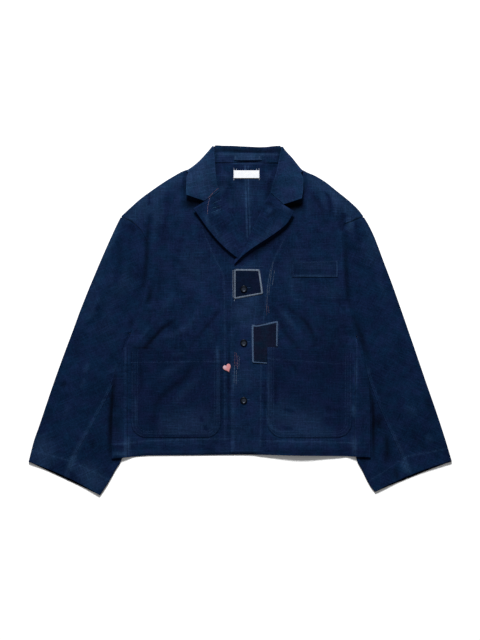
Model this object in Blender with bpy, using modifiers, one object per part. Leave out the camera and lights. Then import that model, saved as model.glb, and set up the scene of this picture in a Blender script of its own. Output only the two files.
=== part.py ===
"""Patched work jacket laid flat on its back, front up: every sewn piece is its own closed solid.

Sizes are in millimetres and are turned into metres when a mesh is made. +X runs to the right sleeve,
+Y to the collar, +Z up from the surface the jacket lies on. "left" is the -X side. In the side tables
`out` is the distance from the plane X = 0 towards that side.
"""
import math
from collections import namedtuple

import bmesh
import bpy
from mathutils import Vector

MM = 0.001

# Cloth
CLOTH = 1.4           # wall of the body, sleeve, collar and pocket cloth
THIN = 1.0            # wall of patches, label and loop
GAP = 0.8             # hollow between a front and a back layer where they lie pressed
SEAM = 0.3            # open seam between two pieces
SEWN = 0.45           # what is sewn on a panel stands this far off it
HALF = CLOTH / 2
LAYER = CLOTH + GAP   # from one pressed layer to the next

# Heights
SLEEVE_LIFT = 4.4     # the side strip lies on the whole flat sleeve
NECK_LIFT = 2.5       # the back lies on the hidden part of the collar leaf
TURN_RISE = 2.9       # free edges of lapels and collar stand off the fronts
TURN_REACH = 55.0     # over this width from the roll line
LIP = 1.6             # radius of the rolled edges of lapels and collar
ROLL_TOP = 5.9        # crest of the stand at the back of the neck
ROLL_Y = 405.3        # outermost line of that crest
FALL_LOW_Y = 338.0    # lower edge of the hidden part of the collar leaf

Point = namedtuple("Point", "x y")
Edge = namedtuple("Edge", "y out")
Ridge = namedtuple("Ridge", "x0 y0 x1 y1 half height")
Side = namedtuple("Side", "name sign pit shoulder armhole fold seam front_edge sleeve_out sleeve_in "
                          "sleeve_seam sleeve_back roll_x")
Row = namedtuple("Row", "kind y_in front_in")
Station = namedtuple("Station", "roll_x roll_y mid_x mid_y out_x out_y")
Sleeve = namedtuple("Sleeve", "inner outer")

HEM = [Point(-300, -321), Point(-257, -318), Point(-209, -314.8), Point(-93, -313.6), Point(24, -312.4),
       Point(141, -314), Point(234, -315.2), Point(304, -318)]
CENTRE_BACK = [Edge(-330, 20.0), Edge(190, 19.5), Edge(368, 16.5)]
NECK_Y = 368.0

LEFT = Side(
    name="left", sign=-1, pit=-28.0,
    shoulder=[Edge(366, 74), Edge(351, 120), Edge(323, 177), Edge(295, 217.5), Edge(281, 236),
              Edge(267, 252.5), Edge(244, 275)],
    armhole=[Edge(244, 275), Edge(227, 247), Edge(203, 226), Edge(177, 216), Edge(130, 217),
             Edge(80, 220), Edge(28, 233), Edge(-28, 254)],
    fold=[Edge(-28, 254), Edge(-52, 265.4), Edge(-73, 276), Edge(-147, 297), Edge(-322, 299.5)],
    seam=[Edge(-28, 250.6), Edge(-52, 260.5), Edge(-73, 262), Edge(-322, 262)],
    front_edge=[Point(30, -330), Point(30, 120), Point(9, 191), Point(-60, 312), Point(-66, 345),
                Point(-76, 366)],
    sleeve_out=[Edge(244, 275), Edge(225, 285), Edge(197, 299), Edge(141, 325), Edge(29.5, 371.5),
                Edge(-82.5, 413.5), Edge(-194.5, 451), Edge(-278.5, 481), Edge(-329, 492.5)],
    sleeve_in=[Edge(-30, 255.3), Edge(-52, 266.8), Edge(-100, 268), Edge(-200, 270), Edge(-317, 275),
               Edge(-352, 293), Edge(-385, 312), Edge(-407, 327)],
    sleeve_seam=[Edge(-28, 254.4), Edge(-36, 263), Edge(-60, 273), Edge(-100, 282), Edge(-145, 295),
                 Edge(-240, 343), Edge(-337, 394), Edge(-400, 412)],
    sleeve_back=[Edge(-28, 254.4), Edge(-36, 264), Edge(-60, 278), Edge(-150, 315), Edge(-300, 370),
                 Edge(-400, 402)],
    roll_x=-59.0)

RIGHT = Side(
    name="right", sign=1, pit=-35.0,
    shoulder=[Edge(366, 108), Edge(345, 142), Edge(340, 168), Edge(323, 198), Edge(295, 235),
              Edge(281, 251.5), Edge(267, 265.5), Edge(244, 286)],
    armhole=[Edge(244, 286), Edge(232, 262), Edge(224, 241), Edge(195, 237), Edge(150, 241),
             Edge(100, 245), Edge(40, 252), Edge(-35, 270)],
    fold=[Edge(-35, 270), Edge(-84, 283), Edge(-125, 297), Edge(-162, 302), Edge(-320, 304)],
    seam=[Edge(-35, 266.6), Edge(-60, 269.5), Edge(-320, 265)],
    front_edge=[Point(-22, -330), Point(-22, 128), Point(-8, 133), Point(23, 189),
                Point(73, 289), Point(82, 312), Point(99, 352), Point(109, 366)],
    sleeve_out=[Edge(244, 286), Edge(225, 298), Edge(197, 312), Edge(141, 333), Edge(29.5, 373),
                Edge(-82.5, 412.5), Edge(-194.5, 450), Edge(-278.5, 478), Edge(-328, 492)],
    sleeve_in=[Edge(-37, 271.6), Edge(-72, 281), Edge(-120, 275), Edge(-200, 272), Edge(-317, 269),
               Edge(-352, 284), Edge(-387, 303), Edge(-399, 316)],
    sleeve_seam=[Edge(-35, 270.4), Edge(-43, 279), Edge(-65, 287), Edge(-100, 292), Edge(-130, 298),
                 Edge(-210, 328), Edge(-340, 386), Edge(-390, 404)],
    sleeve_back=[Edge(-35, 270.4), Edge(-43, 280), Edge(-65, 291), Edge(-150, 320), Edge(-300, 372),
                 Edge(-400, 398)],
    roll_x=92.0)

# Rows of a body panel from hem to shoulder: y at the centre back and at the front's free edge
LOW_ROWS = [-290, -255, -215, -175, -135, -100, -76, -52]
HIGH_ROWS = [Row("pit", -28, -28), Row("arm", 35, 28), Row("arm", 92, 72), Row("arm", 145, 112),
             Row("arm", 195, 150), Row("arm", 240, 195), Row("arm", 280, 240), Row("head", 309, 282),
             Row("head", 336, 318), Row("head", 353, 346), Row("top", 368, 366)]
HEAD_STEPS = [0.35, 0.7, 0.85]      # where the head rows meet the first stretch of the armhole
TOP_STEP = 0.945
SAG = {"arm": 0.25, "head": 0.75, "top": 1.0, "pit": 0.0}
ACROSS = [0, 0.05, 0.1, 0.16, 0.24, 0.34, 0.46, 0.6, 0.74, 0.87, 1.0]
ACROSS_FRONT = [0, 0.05, 0.1, 0.16, 0.24, 0.34, 0.46, 0.58, 0.714, 0.763, 0.812, 0.9, 1.0]
LAP_FULL = 34.0        # the right front is fully raised left of this line
LAP_START = 58.0

# Sections of a sleeve: y on its inner and on its outer edge; the first eight start at the armhole
SLEEVE_ROWS = [Sleeve(242, 241.5), Sleeve(227, 229), Sleeve(203, 212), Sleeve(177, 193), Sleeve(130, 152),
               Sleeve(80, 106), Sleeve(28, 56), Sleeve(-28, 6), Sleeve(-37, -8), Sleeve(-58, -32),
               Sleeve(-98, -68), Sleeve(-148, -110), Sleeve(-203, -157), Sleeve(-258, -205),
               Sleeve(-312, -252), Sleeve(-360, -292), Sleeve(-407, -329)]
UNDER_FROM = 8         # first section of the under sleeve
CUFF_BOW = 4.0         # the upper layer's cuff edge is hollow by this much

# Largest soft folds of the upper layer
RIDGES = [Ridge(-200, -5, -232, -48, 28, 2.4), Ridge(-100, 22, -150, -44, 34, 2.2),
          Ridge(-95, -90, -160, -165, 36, 1.6), Ridge(-175, 190, -180, 270, 34, 2.2),
          Ridge(-120, 90, -140, 170, 55, 2.2), Ridge(-235, -120, -240, -260, 30, 1.4),
          Ridge(110, 52, 172, -26, 34, 2.4), Ridge(180, 235, 182, 292, 30, 2.2),
          Ridge(150, 192, 170, 235, 42, 2.0), Ridge(225, 10, 240, -40, 26, 1.6),
          Ridge(232, -130, 228, -250, 32, 1.3), Ridge(120, -130, 190, -215, 38, 1.4),
          Ridge(-300, 110, -330, -40, 42, 2.4), Ridge(-360, -90, -425, -270, 44, 2.2),
          Ridge(-300, -60, -330, -150, 26, 1.5), Ridge(305, 120, 330, -30, 40, 2.3),
          Ridge(365, -80, 425, -265, 44, 2.2), Ridge(300, -60, 322, -130, 24, 1.4),
          Ridge(-70, -220, -140, -262, 34, 1.3), Ridge(150, -60, 205, -30, 30, 1.3)]

LAPELS = {
    "left": [Station(15.8, 190.0, 1, 167.5, -12.6, 145.6), Station(2, 215, -15, 188, -32, 161.5),
             Station(-12, 240, -32, 211, -52, 181.8), Station(-25, 263, -50, 234, -74.5, 206),
             Station(-37, 284, -65, 257, -92.5, 230.5), Station(-42.5, 294, -75, 271, -103, 247.5),
             Station(-47.2, 302.2, -83.2, 278.2, -109.6, 260.5)],
    "right": [Station(-11.0, 140.6, -10.2, 137.5, -9.4, 134.0), Station(2, 164, 3.5, 158, 5, 152),
              Station(17, 191, 23, 182, 29, 172.8), Station(33, 224, 45, 208, 57, 191.5),
              Station(48, 256, 66, 233, 84, 210), Station(60, 281, 84, 256, 107, 229),
              Station(66, 292, 93, 266, 118, 245), Station(70.3, 298.4, 101, 270.2, 125, 255)],
}
LEAF_FRONT = {
    "left": [Station(-47.8, 303.0, -83.4, 279.2, -126, 293.2), Station(-53, 319, -90, 309, -125.5, 312),
             Station(-57, 349, -90, 336, -125, 332)],
    "right": [Station(70.8, 299.2, 101.4, 271.0, 143.6, 284.5), Station(75, 318, 112, 304, 146.5, 308),
              Station(85, 350, 117, 338, 147, 331)],
}
CREASE = {"left": (Point(-63, 406), Point(-125.5, 350)), "right": (Point(99, 406), Point(146.5, 349))}
LEAF_BACK = {"left": [(-44, -86), (-16, -28)], "right": [(76, 108), (48, 58)]}   # (roll x, lower edge x)
LEAF_CENTRE = 17.0

HIP_TOP = {"left": (Point(-254, -69), Point(-45, -66)), "right": (Point(63, -61), Point(260, -75))}
HIP_BOTTOM_Y = -272.0
HIP_DEPTH = 205.0
HIP_CORNER = 36.0
HIP_OFF = 0.6          # the soft pocket stands this far off the front
HIP_ROWS = [0, 0.07, 0.22, 0.41, 0.6, 0.77, 0.86, 0.92, 0.966, 1.0]    # shares of the depth
WELT = (Point(120, 104.4), Point(227.3, 104), Point(227.3, 141), Point(120, 137))
PATCH_UPPER = (Point(-15.5, 51.5), Point(52, 63), Point(45, 118.5), Point(-15.5, 120.5))
PATCH_LOWER = (Point(29, -98), Point(86, -100), Point(88, -2), Point(28, -10))
LABEL = (Point(-15.4, 332.7), Point(44.6, 332.7), Point(44.6, 350.5), Point(-15.4, 350.5))
LOOP = (Point(-15, 374), Point(51, 374), Point(51, 386), Point(-15, 386))
HEART_AT = Point(-33.5, -108)
HEART_SIZE = 20.0
HEART_TURN = math.radians(24)

BUTTONS = {"button_top": Point(8, 76), "button_middle": Point(7.5, -50), "button_low": Point(7, -185)}
BUTTON_R = 8.2
BUTTON_H = 2.8
BUTTON_DISH = 0.7
HOLE_R = 0.9
HOLE_OFF = 1.9

COLOURS = {
    "body": (0.007, 0.016, 0.050), "sleeve": (0.006, 0.014, 0.043), "collar": (0.010, 0.023, 0.068),
    "pocket": (0.006, 0.011, 0.034), "patch": (0.004, 0.009, 0.022), "patch_red": (0.010, 0.009, 0.022),
    "button": (0.010, 0.008, 0.007), "label": (0.55, 0.56, 0.60), "heart": (0.62, 0.26, 0.27),
}


# ---------------------------------------------------------------- small mathematics
def smooth(t):
    """Ease from 0 to 1 as t goes from 0 to 1, flat beyond."""
    t = min(max(t, 0.0), 1.0)
    return t * t * (3 - 2 * t)


def mix(a, b, t):
    return a + (b - a) * t


def lookup(pairs, key):
    """Value at key on a line through (key, value) pairs given in either order."""
    pairs = sorted(pairs)
    if key <= pairs[0][0]:
        return pairs[0][1]
    for (k0, v0), (k1, v1) in zip(pairs, pairs[1:]):
        if key <= k1:
            return mix(v0, v1, (key - k0) / (k1 - k0))
    return pairs[-1][1]


def out_at(edge, y):
    return lookup([(row.y, row.out) for row in edge], y)


def x_at(points, y):
    return lookup([(p.y, p.x) for p in points], y)


def y_at(points, x):
    return lookup([(p.x, p.y) for p in points], x)


def along(points, t):
    """Point at the fraction t of a polyline's length."""
    spans = [math.dist(a, b) for a, b in zip(points, points[1:])]
    left = t * sum(spans)
    for (a, b), span in zip(zip(points, points[1:]), spans):
        if left <= span or b is points[-1]:
            k = left / span
            return Point(mix(a.x, b.x, k), mix(a.y, b.y, k))
        left -= span
    return points[-1]


def offset(points, distance):
    """Polyline moved sideways (to the left of its direction when distance is positive)."""
    moved = []
    for i, p in enumerate(points):
        before, after = points[max(i - 1, 0)], points[min(i + 1, len(points) - 1)]
        normals = []
        for a, b in ((before, p), (p, after)):
            span = math.dist(a, b)
            if span > 0:
                normals.append(Vector((-(b.y - a.y) / span, (b.x - a.x) / span)))
        mean = sum(normals, Vector((0, 0))).normalized()
        reach = distance / max(mean.dot(normals[0]), 0.4)
        moved.append(Point(p.x + mean.x * reach, p.y + mean.y * reach))
    return moved


def side_of(x):
    return LEFT if x < 0 else RIGHT


# ---------------------------------------------------------------- heights of the layers
def lift(x, y):
    """Height of the back's underside: on the sleeve at the sides, on the collar leaf at the neck."""
    side = side_of(x)
    inner = out_at(side.sleeve_in, y)
    over_sleeve = smooth((side.pit + 4 - y) / 26) * smooth((abs(x) - (inner - 50)) / 44)
    over_leaf = smooth((y - 306) / 26) * smooth((206 - abs(x - 11)) / 68)
    return SLEEVE_LIFT * over_sleeve + NECK_LIFT * over_leaf


def fullness(x, y):
    """How far the upper layer stands off the lower one beyond the pressed gap."""
    total = 0.0
    for r in RIDGES:
        run = Vector((r.x1 - r.x0, r.y1 - r.y0))
        t = min(max(Vector((x - r.x0, y - r.y0)).dot(run) / run.length_squared, 0), 1)
        gap = math.dist((x, y), (r.x0 + run.x * t, r.y0 + run.y * t))
        total += r.height * smooth(1 - gap / r.half)
    return min(total, 2.8)


def back_z(x, y):
    """Middle of the back cloth."""
    return lift(x, y) + HALF


def front_z(x, y):
    """Middle of the front cloth, pressed flat along the side fold."""
    side = side_of(x)
    pressed = smooth((side.pit + 14 - y) / 20) * (1 - smooth((out_at(side.fold, y) - abs(x) - 4) / 28))
    return lift(x, y) + LAYER + HALF + fullness(x, y) * (1 - pressed)


def right_front_z(x, y):
    """The right front also lies over the left front's edge."""
    return front_z(x, y) + LAYER * smooth((LAP_START - x) / (LAP_START - LAP_FULL))


def front_under(x, y, side):
    return right_front_z(x, y) if side.sign > 0 else front_z(x, y)


def turn_z(x, y, side, reach):
    """Middle of a lapel or collar leaf lying on the front, reach being the way from its roll."""
    return front_under(x, y, side) + CLOTH + 0.7 + TURN_RISE * smooth(reach / TURN_REACH)


# ---------------------------------------------------------------- making solids
def clear_scene():
    for obj in list(bpy.data.objects):
        bpy.data.objects.remove(obj, do_unlink=True)


def collection(name):
    found = bpy.data.collections.new(name)
    bpy.context.scene.collection.children.link(found)
    return found


def material(name):
    mat = bpy.data.materials.new(name)
    mat.use_nodes = True
    shader = mat.node_tree.nodes["Principled BSDF"]
    shader.inputs["Base Color"].default_value = (*COLOURS[name], 1.0)
    shader.inputs["Roughness"].default_value = 0.9
    return mat


def wall(name, verts, faces, thickness, finish):
    """Closed cloth solid of the given thickness round a surface of middle points in millimetres."""
    mesh = bpy.data.meshes.new(name)
    mesh.from_pydata([(x * MM, y * MM, z * MM) for x, y, z in verts], [], faces)
    mesh.update()
    obj = bpy.data.objects.new(name, mesh)
    PARTS.objects.link(obj)
    obj.data.materials.append(FINISHES[finish])
    solid = obj.modifiers.new("wall", "SOLIDIFY")
    solid.thickness = thickness * MM
    solid.offset = 0.0
    return obj


def sheet(name, rows, thickness, finish):
    """Cloth solid round a grid of middle points; a row has None where the piece has no cloth."""
    verts, index = [], []
    for row in rows:
        keys = []
        for p in row:
            keys.append(None if p is None else len(verts))
            if p is not None:
                verts.append(p)
        index.append(keys)
    faces = []
    for low, high in zip(index, index[1:]):
        for k in range(min(len(low), len(high)) - 1):
            quad = (low[k], low[k + 1], high[k + 1], high[k])
            if None not in quad:
                faces.append(quad)
    return wall(name, verts, faces, thickness, finish)


# ---------------------------------------------------------------- body
def head_point(side, step):
    tip, nxt = side.armhole[0], side.armhole[1]
    return Edge(mix(nxt.y, tip.y, step), mix(nxt.out, tip.out, step))


def outer_rows(side):
    """(kind, outer edge, y at the centre back, y at the front edge) for each row from the hem up."""
    rows = [("hem", Edge(y_at(HEM, side.sign * 280), 0), None, None)]
    rows += [("low", Edge(y, 0), y, y) for y in LOW_ROWS]
    holes = list(reversed(side.armhole[1:]))
    heads = iter(HEAD_STEPS)
    for i, row in enumerate(HIGH_ROWS):
        if row.kind == "top":
            edge = head_point(side, TOP_STEP)
        elif row.kind == "head":
            edge = head_point(side, next(heads))
        else:
            edge = holes[i]
        rows.append((row.kind, edge, row.y_in, row.front_in))
    return rows


def shoulder_y(side, x):
    """Line of the shoulder drawn in by the fold's half circle, carried on to the centre back."""
    line = offset([Point(e.out, e.y) for e in side.shoulder], -(HALF + LAYER / 2))
    return lookup([(p.x * side.sign, p.y) for p in line] + [(CENTRE_BACK[-1].out, NECK_Y)], x)


def body_line(side, kind, edge, inner, count):
    """Plan points of one body row from its outer end to its inner end."""
    outer = Point(edge.out * side.sign, edge.y)
    tip = head_point(side, TOP_STEP)
    crest = [(tip.out * side.sign, tip.y), (inner.x, shoulder_y(side, inner.x))]
    weight = SAG.get(kind, 0)
    if kind == "arm":
        weight *= smooth((inner.y - 60) / 220)
    points = []
    for t in count:
        x, y = mix(outer.x, inner.x, t), mix(outer.y, inner.y, t)
        if weight and 0 < t < 1:
            y += weight * (shoulder_y(side, x) - lookup(crest, x))
        points.append(Point(x, y))
    return points


def hem_line(side, x0, x1, count):
    return [Point(mix(x0, x1, t), y_at(HEM, mix(x0, x1, t))) for t in count]


def fold_arc(edge_x, sign, y, z_low, z_high, angles):
    """Points round a side fold whose outermost cloth face is at edge_x."""
    radius = (z_high - z_low) / 2
    centre_x = edge_x - sign * (HALF + radius)
    centre_z = (z_high + z_low) / 2
    return [(centre_x + sign * radius * math.cos(a), y, centre_z + radius * math.sin(a)) for a in angles]


def shoulder_arc(side, line, upper):
    """Rows that take the last body row down (or up) towards the shoulder seam."""
    turns = [math.radians(a if upper else -a) for a in (62, 42, 31)]
    rows = []
    for a in turns:
        row = []
        for i, p in enumerate(line):
            low, high = back_z(p.x, p.y), front_z(p.x, p.y)
            radius, middle = (high - low) / 2, (high + low) / 2
            q, r = line[max(i - 1, 0)], line[min(i + 1, len(line) - 1)]
            run = Vector((r.x - q.x, r.y - q.y)).normalized()
            normal = Vector((-run.y, run.x))
            if normal.y < 0:
                normal = -normal
            push = radius * math.cos(a)
            row.append((p.x + normal.x * push, p.y + normal.y * push, middle + radius * math.sin(a)))
        rows.append(row)
    return rows


def make_back(side):
    rows = []
    for kind, edge, y_in, _ in outer_rows(side):
        low = kind in ("hem", "low")
        y_in = y_at(HEM, 20) if kind == "hem" else y_in
        y_out = edge.y
        cb = out_at(CENTRE_BACK, y_in) + side.sign * SEAM / 2
        if not low:
            line = body_line(side, kind, edge, Point(cb, y_in), ACROSS)
            rows.append([(p.x, p.y, back_z(p.x, p.y)) for p in reversed(line)])
            continue
        fold = side.sign * out_at(side.fold, y_out)
        z_low, z_high = back_z(fold, y_out), front_z(fold, y_out)
        start = fold - side.sign * (HALF + (z_high - z_low) / 2)
        if kind == "hem":
            line = hem_line(side, start, cb, ACROSS)
        else:
            line = [Point(mix(start, cb, t), mix(y_out, y_in, t)) for t in ACROSS]
        row = [(p.x, p.y, back_z(p.x, p.y)) for p in reversed(line)]
        row += fold_arc(fold, side.sign, y_out, z_low, z_high, [math.radians(a) for a in (-45, 0, 45)])
        seam = side.sign * (out_at(side.seam, y_out) + SEAM)
        for t in (0, 0.5, 1):
            x = mix(start, seam, t)
            y = y_at(HEM, x) if kind == "hem" else y_out
            row.append((x, y, front_z(x, y)))
        rows.append(row)
    last = [Point(x, y) for x, y, _ in rows[-1] if abs(x) >= side.shoulder[0].out - 20]
    skip = len(rows[-1]) - len(last)
    for arc in shoulder_arc(side, last, upper=False):
        rows.append([None] * skip + arc)
    sheet("back_" + side.name, rows, CLOTH, "body")


def make_front(side):
    rows = []
    for kind, edge, _, y_in in outer_rows(side):
        y_in = y_at(HEM, 0) if kind == "hem" else y_in
        free = x_at(side.front_edge, y_in)
        y_in = shoulder_y(side, free) if kind == "top" else y_in
        if kind in ("hem", "low"):
            seam = side.sign * out_at(side.seam, edge.y)
            if kind == "hem":
                line = hem_line(side, seam, free, ACROSS_FRONT)
            else:
                line = [Point(mix(seam, free, t), mix(edge.y, y_in, t)) for t in ACROSS_FRONT]
        else:
            line = body_line(side, kind, edge, Point(free, y_in), ACROSS_FRONT)
        rows.append([(p.x, p.y, front_under(p.x, p.y, side)) for p in reversed(line)])
    last = [Point(x, y) for x, y, _ in rows[-1]]
    rows += shoulder_arc(side, last, upper=True)
    sheet("front_" + side.name, rows, CLOTH, "body")


# ---------------------------------------------------------------- sleeves
ACROSS_TOP = [0, 0.12, 0.3, 0.5, 0.7, 0.87, 1]
ACROSS_LOW = [0, 0.25, 0.5, 0.75, 1]


def crossing(rail, inner, outer):
    """Where the line from the inner to the outer edge crosses a seam's rail."""
    low, high = 0.0, 1.0
    for _ in range(30):
        t = (low + high) / 2
        y = mix(inner.y, outer.y, t)
        if mix(inner.x, outer.x, t) > out_at(rail, y):
            high = t
        else:
            low = t
    return Point(mix(inner.x, outer.x, low), mix(inner.y, outer.y, low))


def sleeve_top_z(side, p):
    """Middle of the upper sleeve layer, pressed flat where the body lies on it."""
    calm = 1.0 if p.y > side.pit else smooth((abs(p.x) - out_at(side.fold, p.y) + 6) / 30)
    return LAYER + HALF + fullness(p.x, p.y) * calm


def line_between(a, b, shares):
    return [Point(mix(a.x, b.x, t), mix(a.y, b.y, t)) for t in shares]


def sleeve_ring(side, edge, inward, above, below, bow):
    """Section round one fold: from a point above it, a half circle, to a point below it."""
    def world(p):
        return Point(side.sign * p.x, p.y)

    z_high = sleeve_top_z(side, world(edge))
    radius = (z_high - HALF) / 2
    start = Point(edge.x + inward.x * (HALF + radius), edge.y + inward.y * (HALF + radius))
    top = line_between(above[0], start, above[1])[:-1]
    ring = []
    for share, p in zip(above[1], top):
        p = world(Point(p.x, p.y + bow * (1 - share ** 2)))
        ring.append((p.x, p.y, sleeve_top_z(side, p)))
    for angle in (90, 45, 0, -45, -90):
        c, s = math.cos(math.radians(angle)), math.sin(math.radians(angle))
        p = world(Point(start.x - inward.x * radius * c, start.y - inward.y * radius * c))
        ring.append((p.x, p.y, HALF + radius + radius * s))
    for p in line_between(start, below[0], below[1])[1:]:
        ring.append((side.sign * p.x, p.y, HALF))
    return ring


def edge_normal(rail, y, sense):
    """Direction in plan from a sleeve's edge at height y into the sleeve."""
    run = Vector((out_at(rail, y - 4) - out_at(rail, y + 4), -8)).normalized()
    return Vector((-run.y, run.x)) * sense


def make_sleeve(side):
    hole = offset([Point(e.out, e.y) for e in side.armhole], SEAM)
    hole[0] = Point(mix(hole[0].x, hole[1].x, 0.12), mix(hole[0].y, hole[1].y, 0.12))
    shift = side.armhole[-1].y - LEFT.armhole[-1].y
    tops, unders = [], []
    for i, section in enumerate(SLEEVE_ROWS):
        outer = Point(out_at(side.sleeve_out, section.outer), section.outer)
        normal = edge_normal(side.sleeve_out, section.outer, -1)
        if i == len(SLEEVE_ROWS) - 1:
            outer = Point(side.sleeve_out[-1].out, side.sleeve_out[-1].y)
            normal = edge_normal(side.sleeve_out, outer.y + 8, -1)
        bow = CUFF_BOW * smooth((i - len(SLEEVE_ROWS) + 3) / 2)
        if i < UNDER_FROM:
            above = below = hole[i]
        else:
            y = max(section.inner + shift * smooth((section.inner + 260) / 200), side.sleeve_in[-1].y)
            inner = Point(out_at(side.sleeve_in, y), y)
            above = crossing(side.sleeve_seam, inner, outer)
            below = crossing(side.sleeve_back, inner, outer)
            run = Vector((outer.x - inner.x, outer.y - inner.y)).normalized() * SEAM * 1.25
            ring = sleeve_ring(side, inner, edge_normal(side.sleeve_in, y, 1),
                               (Point(above.x - run.x, above.y - run.y), [0, 0.5, 1]),
                               (Point(below.x - run.x, below.y - run.y), [0, 0.33, 0.67, 1]), bow)
            unders.append(ring)
        tops.append(sleeve_ring(side, outer, normal, (above, ACROSS_TOP), (below, ACROSS_LOW), bow))
    sheet("sleeve_top_" + side.name, tops, CLOTH, "sleeve")
    sheet("sleeve_under_" + side.name, unders, CLOTH, "sleeve")


# ---------------------------------------------------------------- collar and lapels
FLAT = [0, 0.25, 0.5, 0.75, 1.0]
CURL = [math.radians(a) for a in (30, 60, 88)]


def bend(station, t):
    """Point from the outer end (0) through the middle to the roll (1)."""
    out, mid, roll = (Point(station.out_x, station.out_y), Point(station.mid_x, station.mid_y),
                      Point(station.roll_x, station.roll_y))
    return along([out, mid, roll], t)


def turned_row(station, side):
    """One section of a lapel or of the leaf's front part, ending in the rolled lip."""
    length = (math.dist((station.out_x, station.out_y), (station.mid_x, station.mid_y))
              + math.dist((station.mid_x, station.mid_y), (station.roll_x, station.roll_y)))
    lip = min(LIP, 0.45 * length)
    stop = 1 - (lip + HALF) / length
    row = []
    for t in FLAT:
        p = bend(station, t * stop)
        row.append((p.x, p.y, turn_z(p.x, p.y, side, length * (1 - t * stop))))
    p = bend(station, stop)
    run = Vector((station.roll_x - p.x, station.roll_y - p.y)).normalized()
    x, y, z = row[-1]
    for a in CURL:
        row.append((x + run.x * lip * math.sin(a), y + run.y * lip * math.sin(a), z - lip * (1 - math.cos(a))))
    return row


def crease_rows(side_name, side):
    """Sections that carry the leaf round its crease from the front to beneath the neck."""
    roll, out = CREASE[side_name]
    run = Vector((roll.x - out.x, roll.y - out.y))
    length = run.length
    run.normalize()
    normal = Vector((-run.y, run.x))
    if normal.y < 0:
        normal = -normal
    rows = []
    for step in range(5):
        angle = math.pi * step / 4
        stop = 1 - (LIP + HALF) / length
        row = []
        for t in FLAT:
            base = Vector((out.x, out.y)) + run * length * t * stop
            probe = base - normal * 5
            z_top = turn_z(probe.x, probe.y, side, length * (1 - t * stop))
            radius, middle = (z_top - HALF) / 2, (z_top + HALF) / 2
            spot = base + normal * (radius * math.sin(angle) - radius - HALF)
            row.append((spot.x, spot.y, middle + radius * math.cos(angle)))
        x, y, z = row[-1]
        inward = Vector((-normal.x * math.sin(angle), -normal.y * math.sin(angle), -math.cos(angle)))
        for a in CURL:
            s, c = LIP * math.sin(a), LIP * (1 - math.cos(a))
            row.append((x + run.x * s + inward.x * c, y + run.y * s + inward.y * c, z + inward.z * c))
        rows.append(row)
    return rows


def fall_row(roll_x, low_x):
    """Section of the leaf where it lies hidden behind the neck."""
    radius = 1.9
    roll = Point(roll_x, ROLL_Y - radius)
    row = [(mix(low_x, roll_x, t), mix(FALL_LOW_Y, roll.y, t), HALF) for t in FLAT]
    x, y, z = row[-1]
    return row + [(x, y + radius * math.sin(a), z + radius * (1 - math.cos(a))) for a in CURL]


def make_collar():
    rows = [turned_row(s, LEFT) for s in LEAF_FRONT["left"]] + crease_rows("left", LEFT)
    rows += [fall_row(roll, low) for roll, low in LEAF_BACK["left"]]
    rows.append(fall_row(LEAF_CENTRE, LEAF_CENTRE))
    rows += [fall_row(roll, low) for roll, low in reversed(LEAF_BACK["right"])]
    rows += list(reversed(crease_rows("right", RIGHT)))
    rows += [turned_row(s, RIGHT) for s in reversed(LEAF_FRONT["right"])]
    sheet("collar_fall", rows, CLOTH, "collar")

    low_end = HALF + 1.9 * (1 - math.cos(CURL[-1])) + 0.65
    radius = (ROLL_TOP - HALF - low_end) / (1 - math.cos(math.radians(88)))
    crest_y = ROLL_Y - radius * math.sin(math.radians(88))
    columns = []
    for k in range(9):
        t = k / 8
        row = []
        for y in (NECK_Y + SEAM, 378, 388, 396, crest_y):
            x = mix(LEFT.roll_x, mix(91.4, 94.0, (y - 368) / 37), t)
            row.append((x, y, stand_z(x, y, crest_y)))
        for a in (40, 70, 88):
            s, c = radius * math.sin(math.radians(a)), radius * (1 - math.cos(math.radians(a)))
            row.append((row[4][0], crest_y + s, row[4][2] - c))
        columns.append(row)
    sheet("collar_stand", columns, CLOTH, "collar")
    return crest_y


def stand_z(x, y, crest_y):
    base = back_z(x, NECK_Y)
    return mix(base, ROLL_TOP - HALF, smooth((y - NECK_Y) / (crest_y - NECK_Y)))


def make_lapel(side):
    rows = [turned_row(s, side) for s in LAPELS[side.name]]
    sheet("lapel_" + side.name, rows, CLOTH, "collar")


# ---------------------------------------------------------------- pieces sewn on
def even(count):
    return [k / count for k in range(count + 1)]


def quad_rows(corners, across, down, z_of):
    """Grid over four corners (low left, low right, top right, top left)."""
    rows = []
    for v in down:
        row = []
        for u in across:
            x = mix(mix(corners[0].x, corners[1].x, u), mix(corners[3].x, corners[2].x, u), v)
            y = mix(mix(corners[0].y, corners[1].y, u), mix(corners[3].y, corners[2].y, u), v)
            row.append((x, y, z_of(x, y, u, v)))
        rows.append(row)
    return rows


def make_hip_pocket(side):
    """Patch pocket with round lower corners, a little open along its top edge."""
    top_left, top_right = HIP_TOP[side.name]
    rows = []
    for down in HIP_ROWS:
        to_bottom = HIP_DEPTH * (1 - down)
        corner = HIP_CORNER - math.sqrt(HIP_CORNER ** 2 - max(HIP_CORNER - to_bottom, 0) ** 2)
        row = []
        for u in even(12):
            y = mix(mix(top_left.y, top_right.y, u), HIP_BOTTOM_Y, down)
            x = mix(top_left.x + corner, top_right.x - corner, u)
            hollow = 0.9 * smooth(min(u, 1 - u) / 0.2) * smooth((1 - down) / 0.25)
            under = 0.0
            if side.sign > 0:
                under = (THIN + SEWN) * smooth((112 - x) / 18) * smooth((y + 128) / 20)
            row.append((x, y, front_under(x, y, side) + CLOTH + HIP_OFF + hollow + under))
        rows.append(row)
    sheet("hip_pocket_" + side.name, rows, CLOTH, "pocket")


def on_right(thickness, extra=0.0):
    def height(x, y, u, v):
        return right_front_z(x, y) + HALF + SEWN + thickness / 2 + extra
    return height


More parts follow.
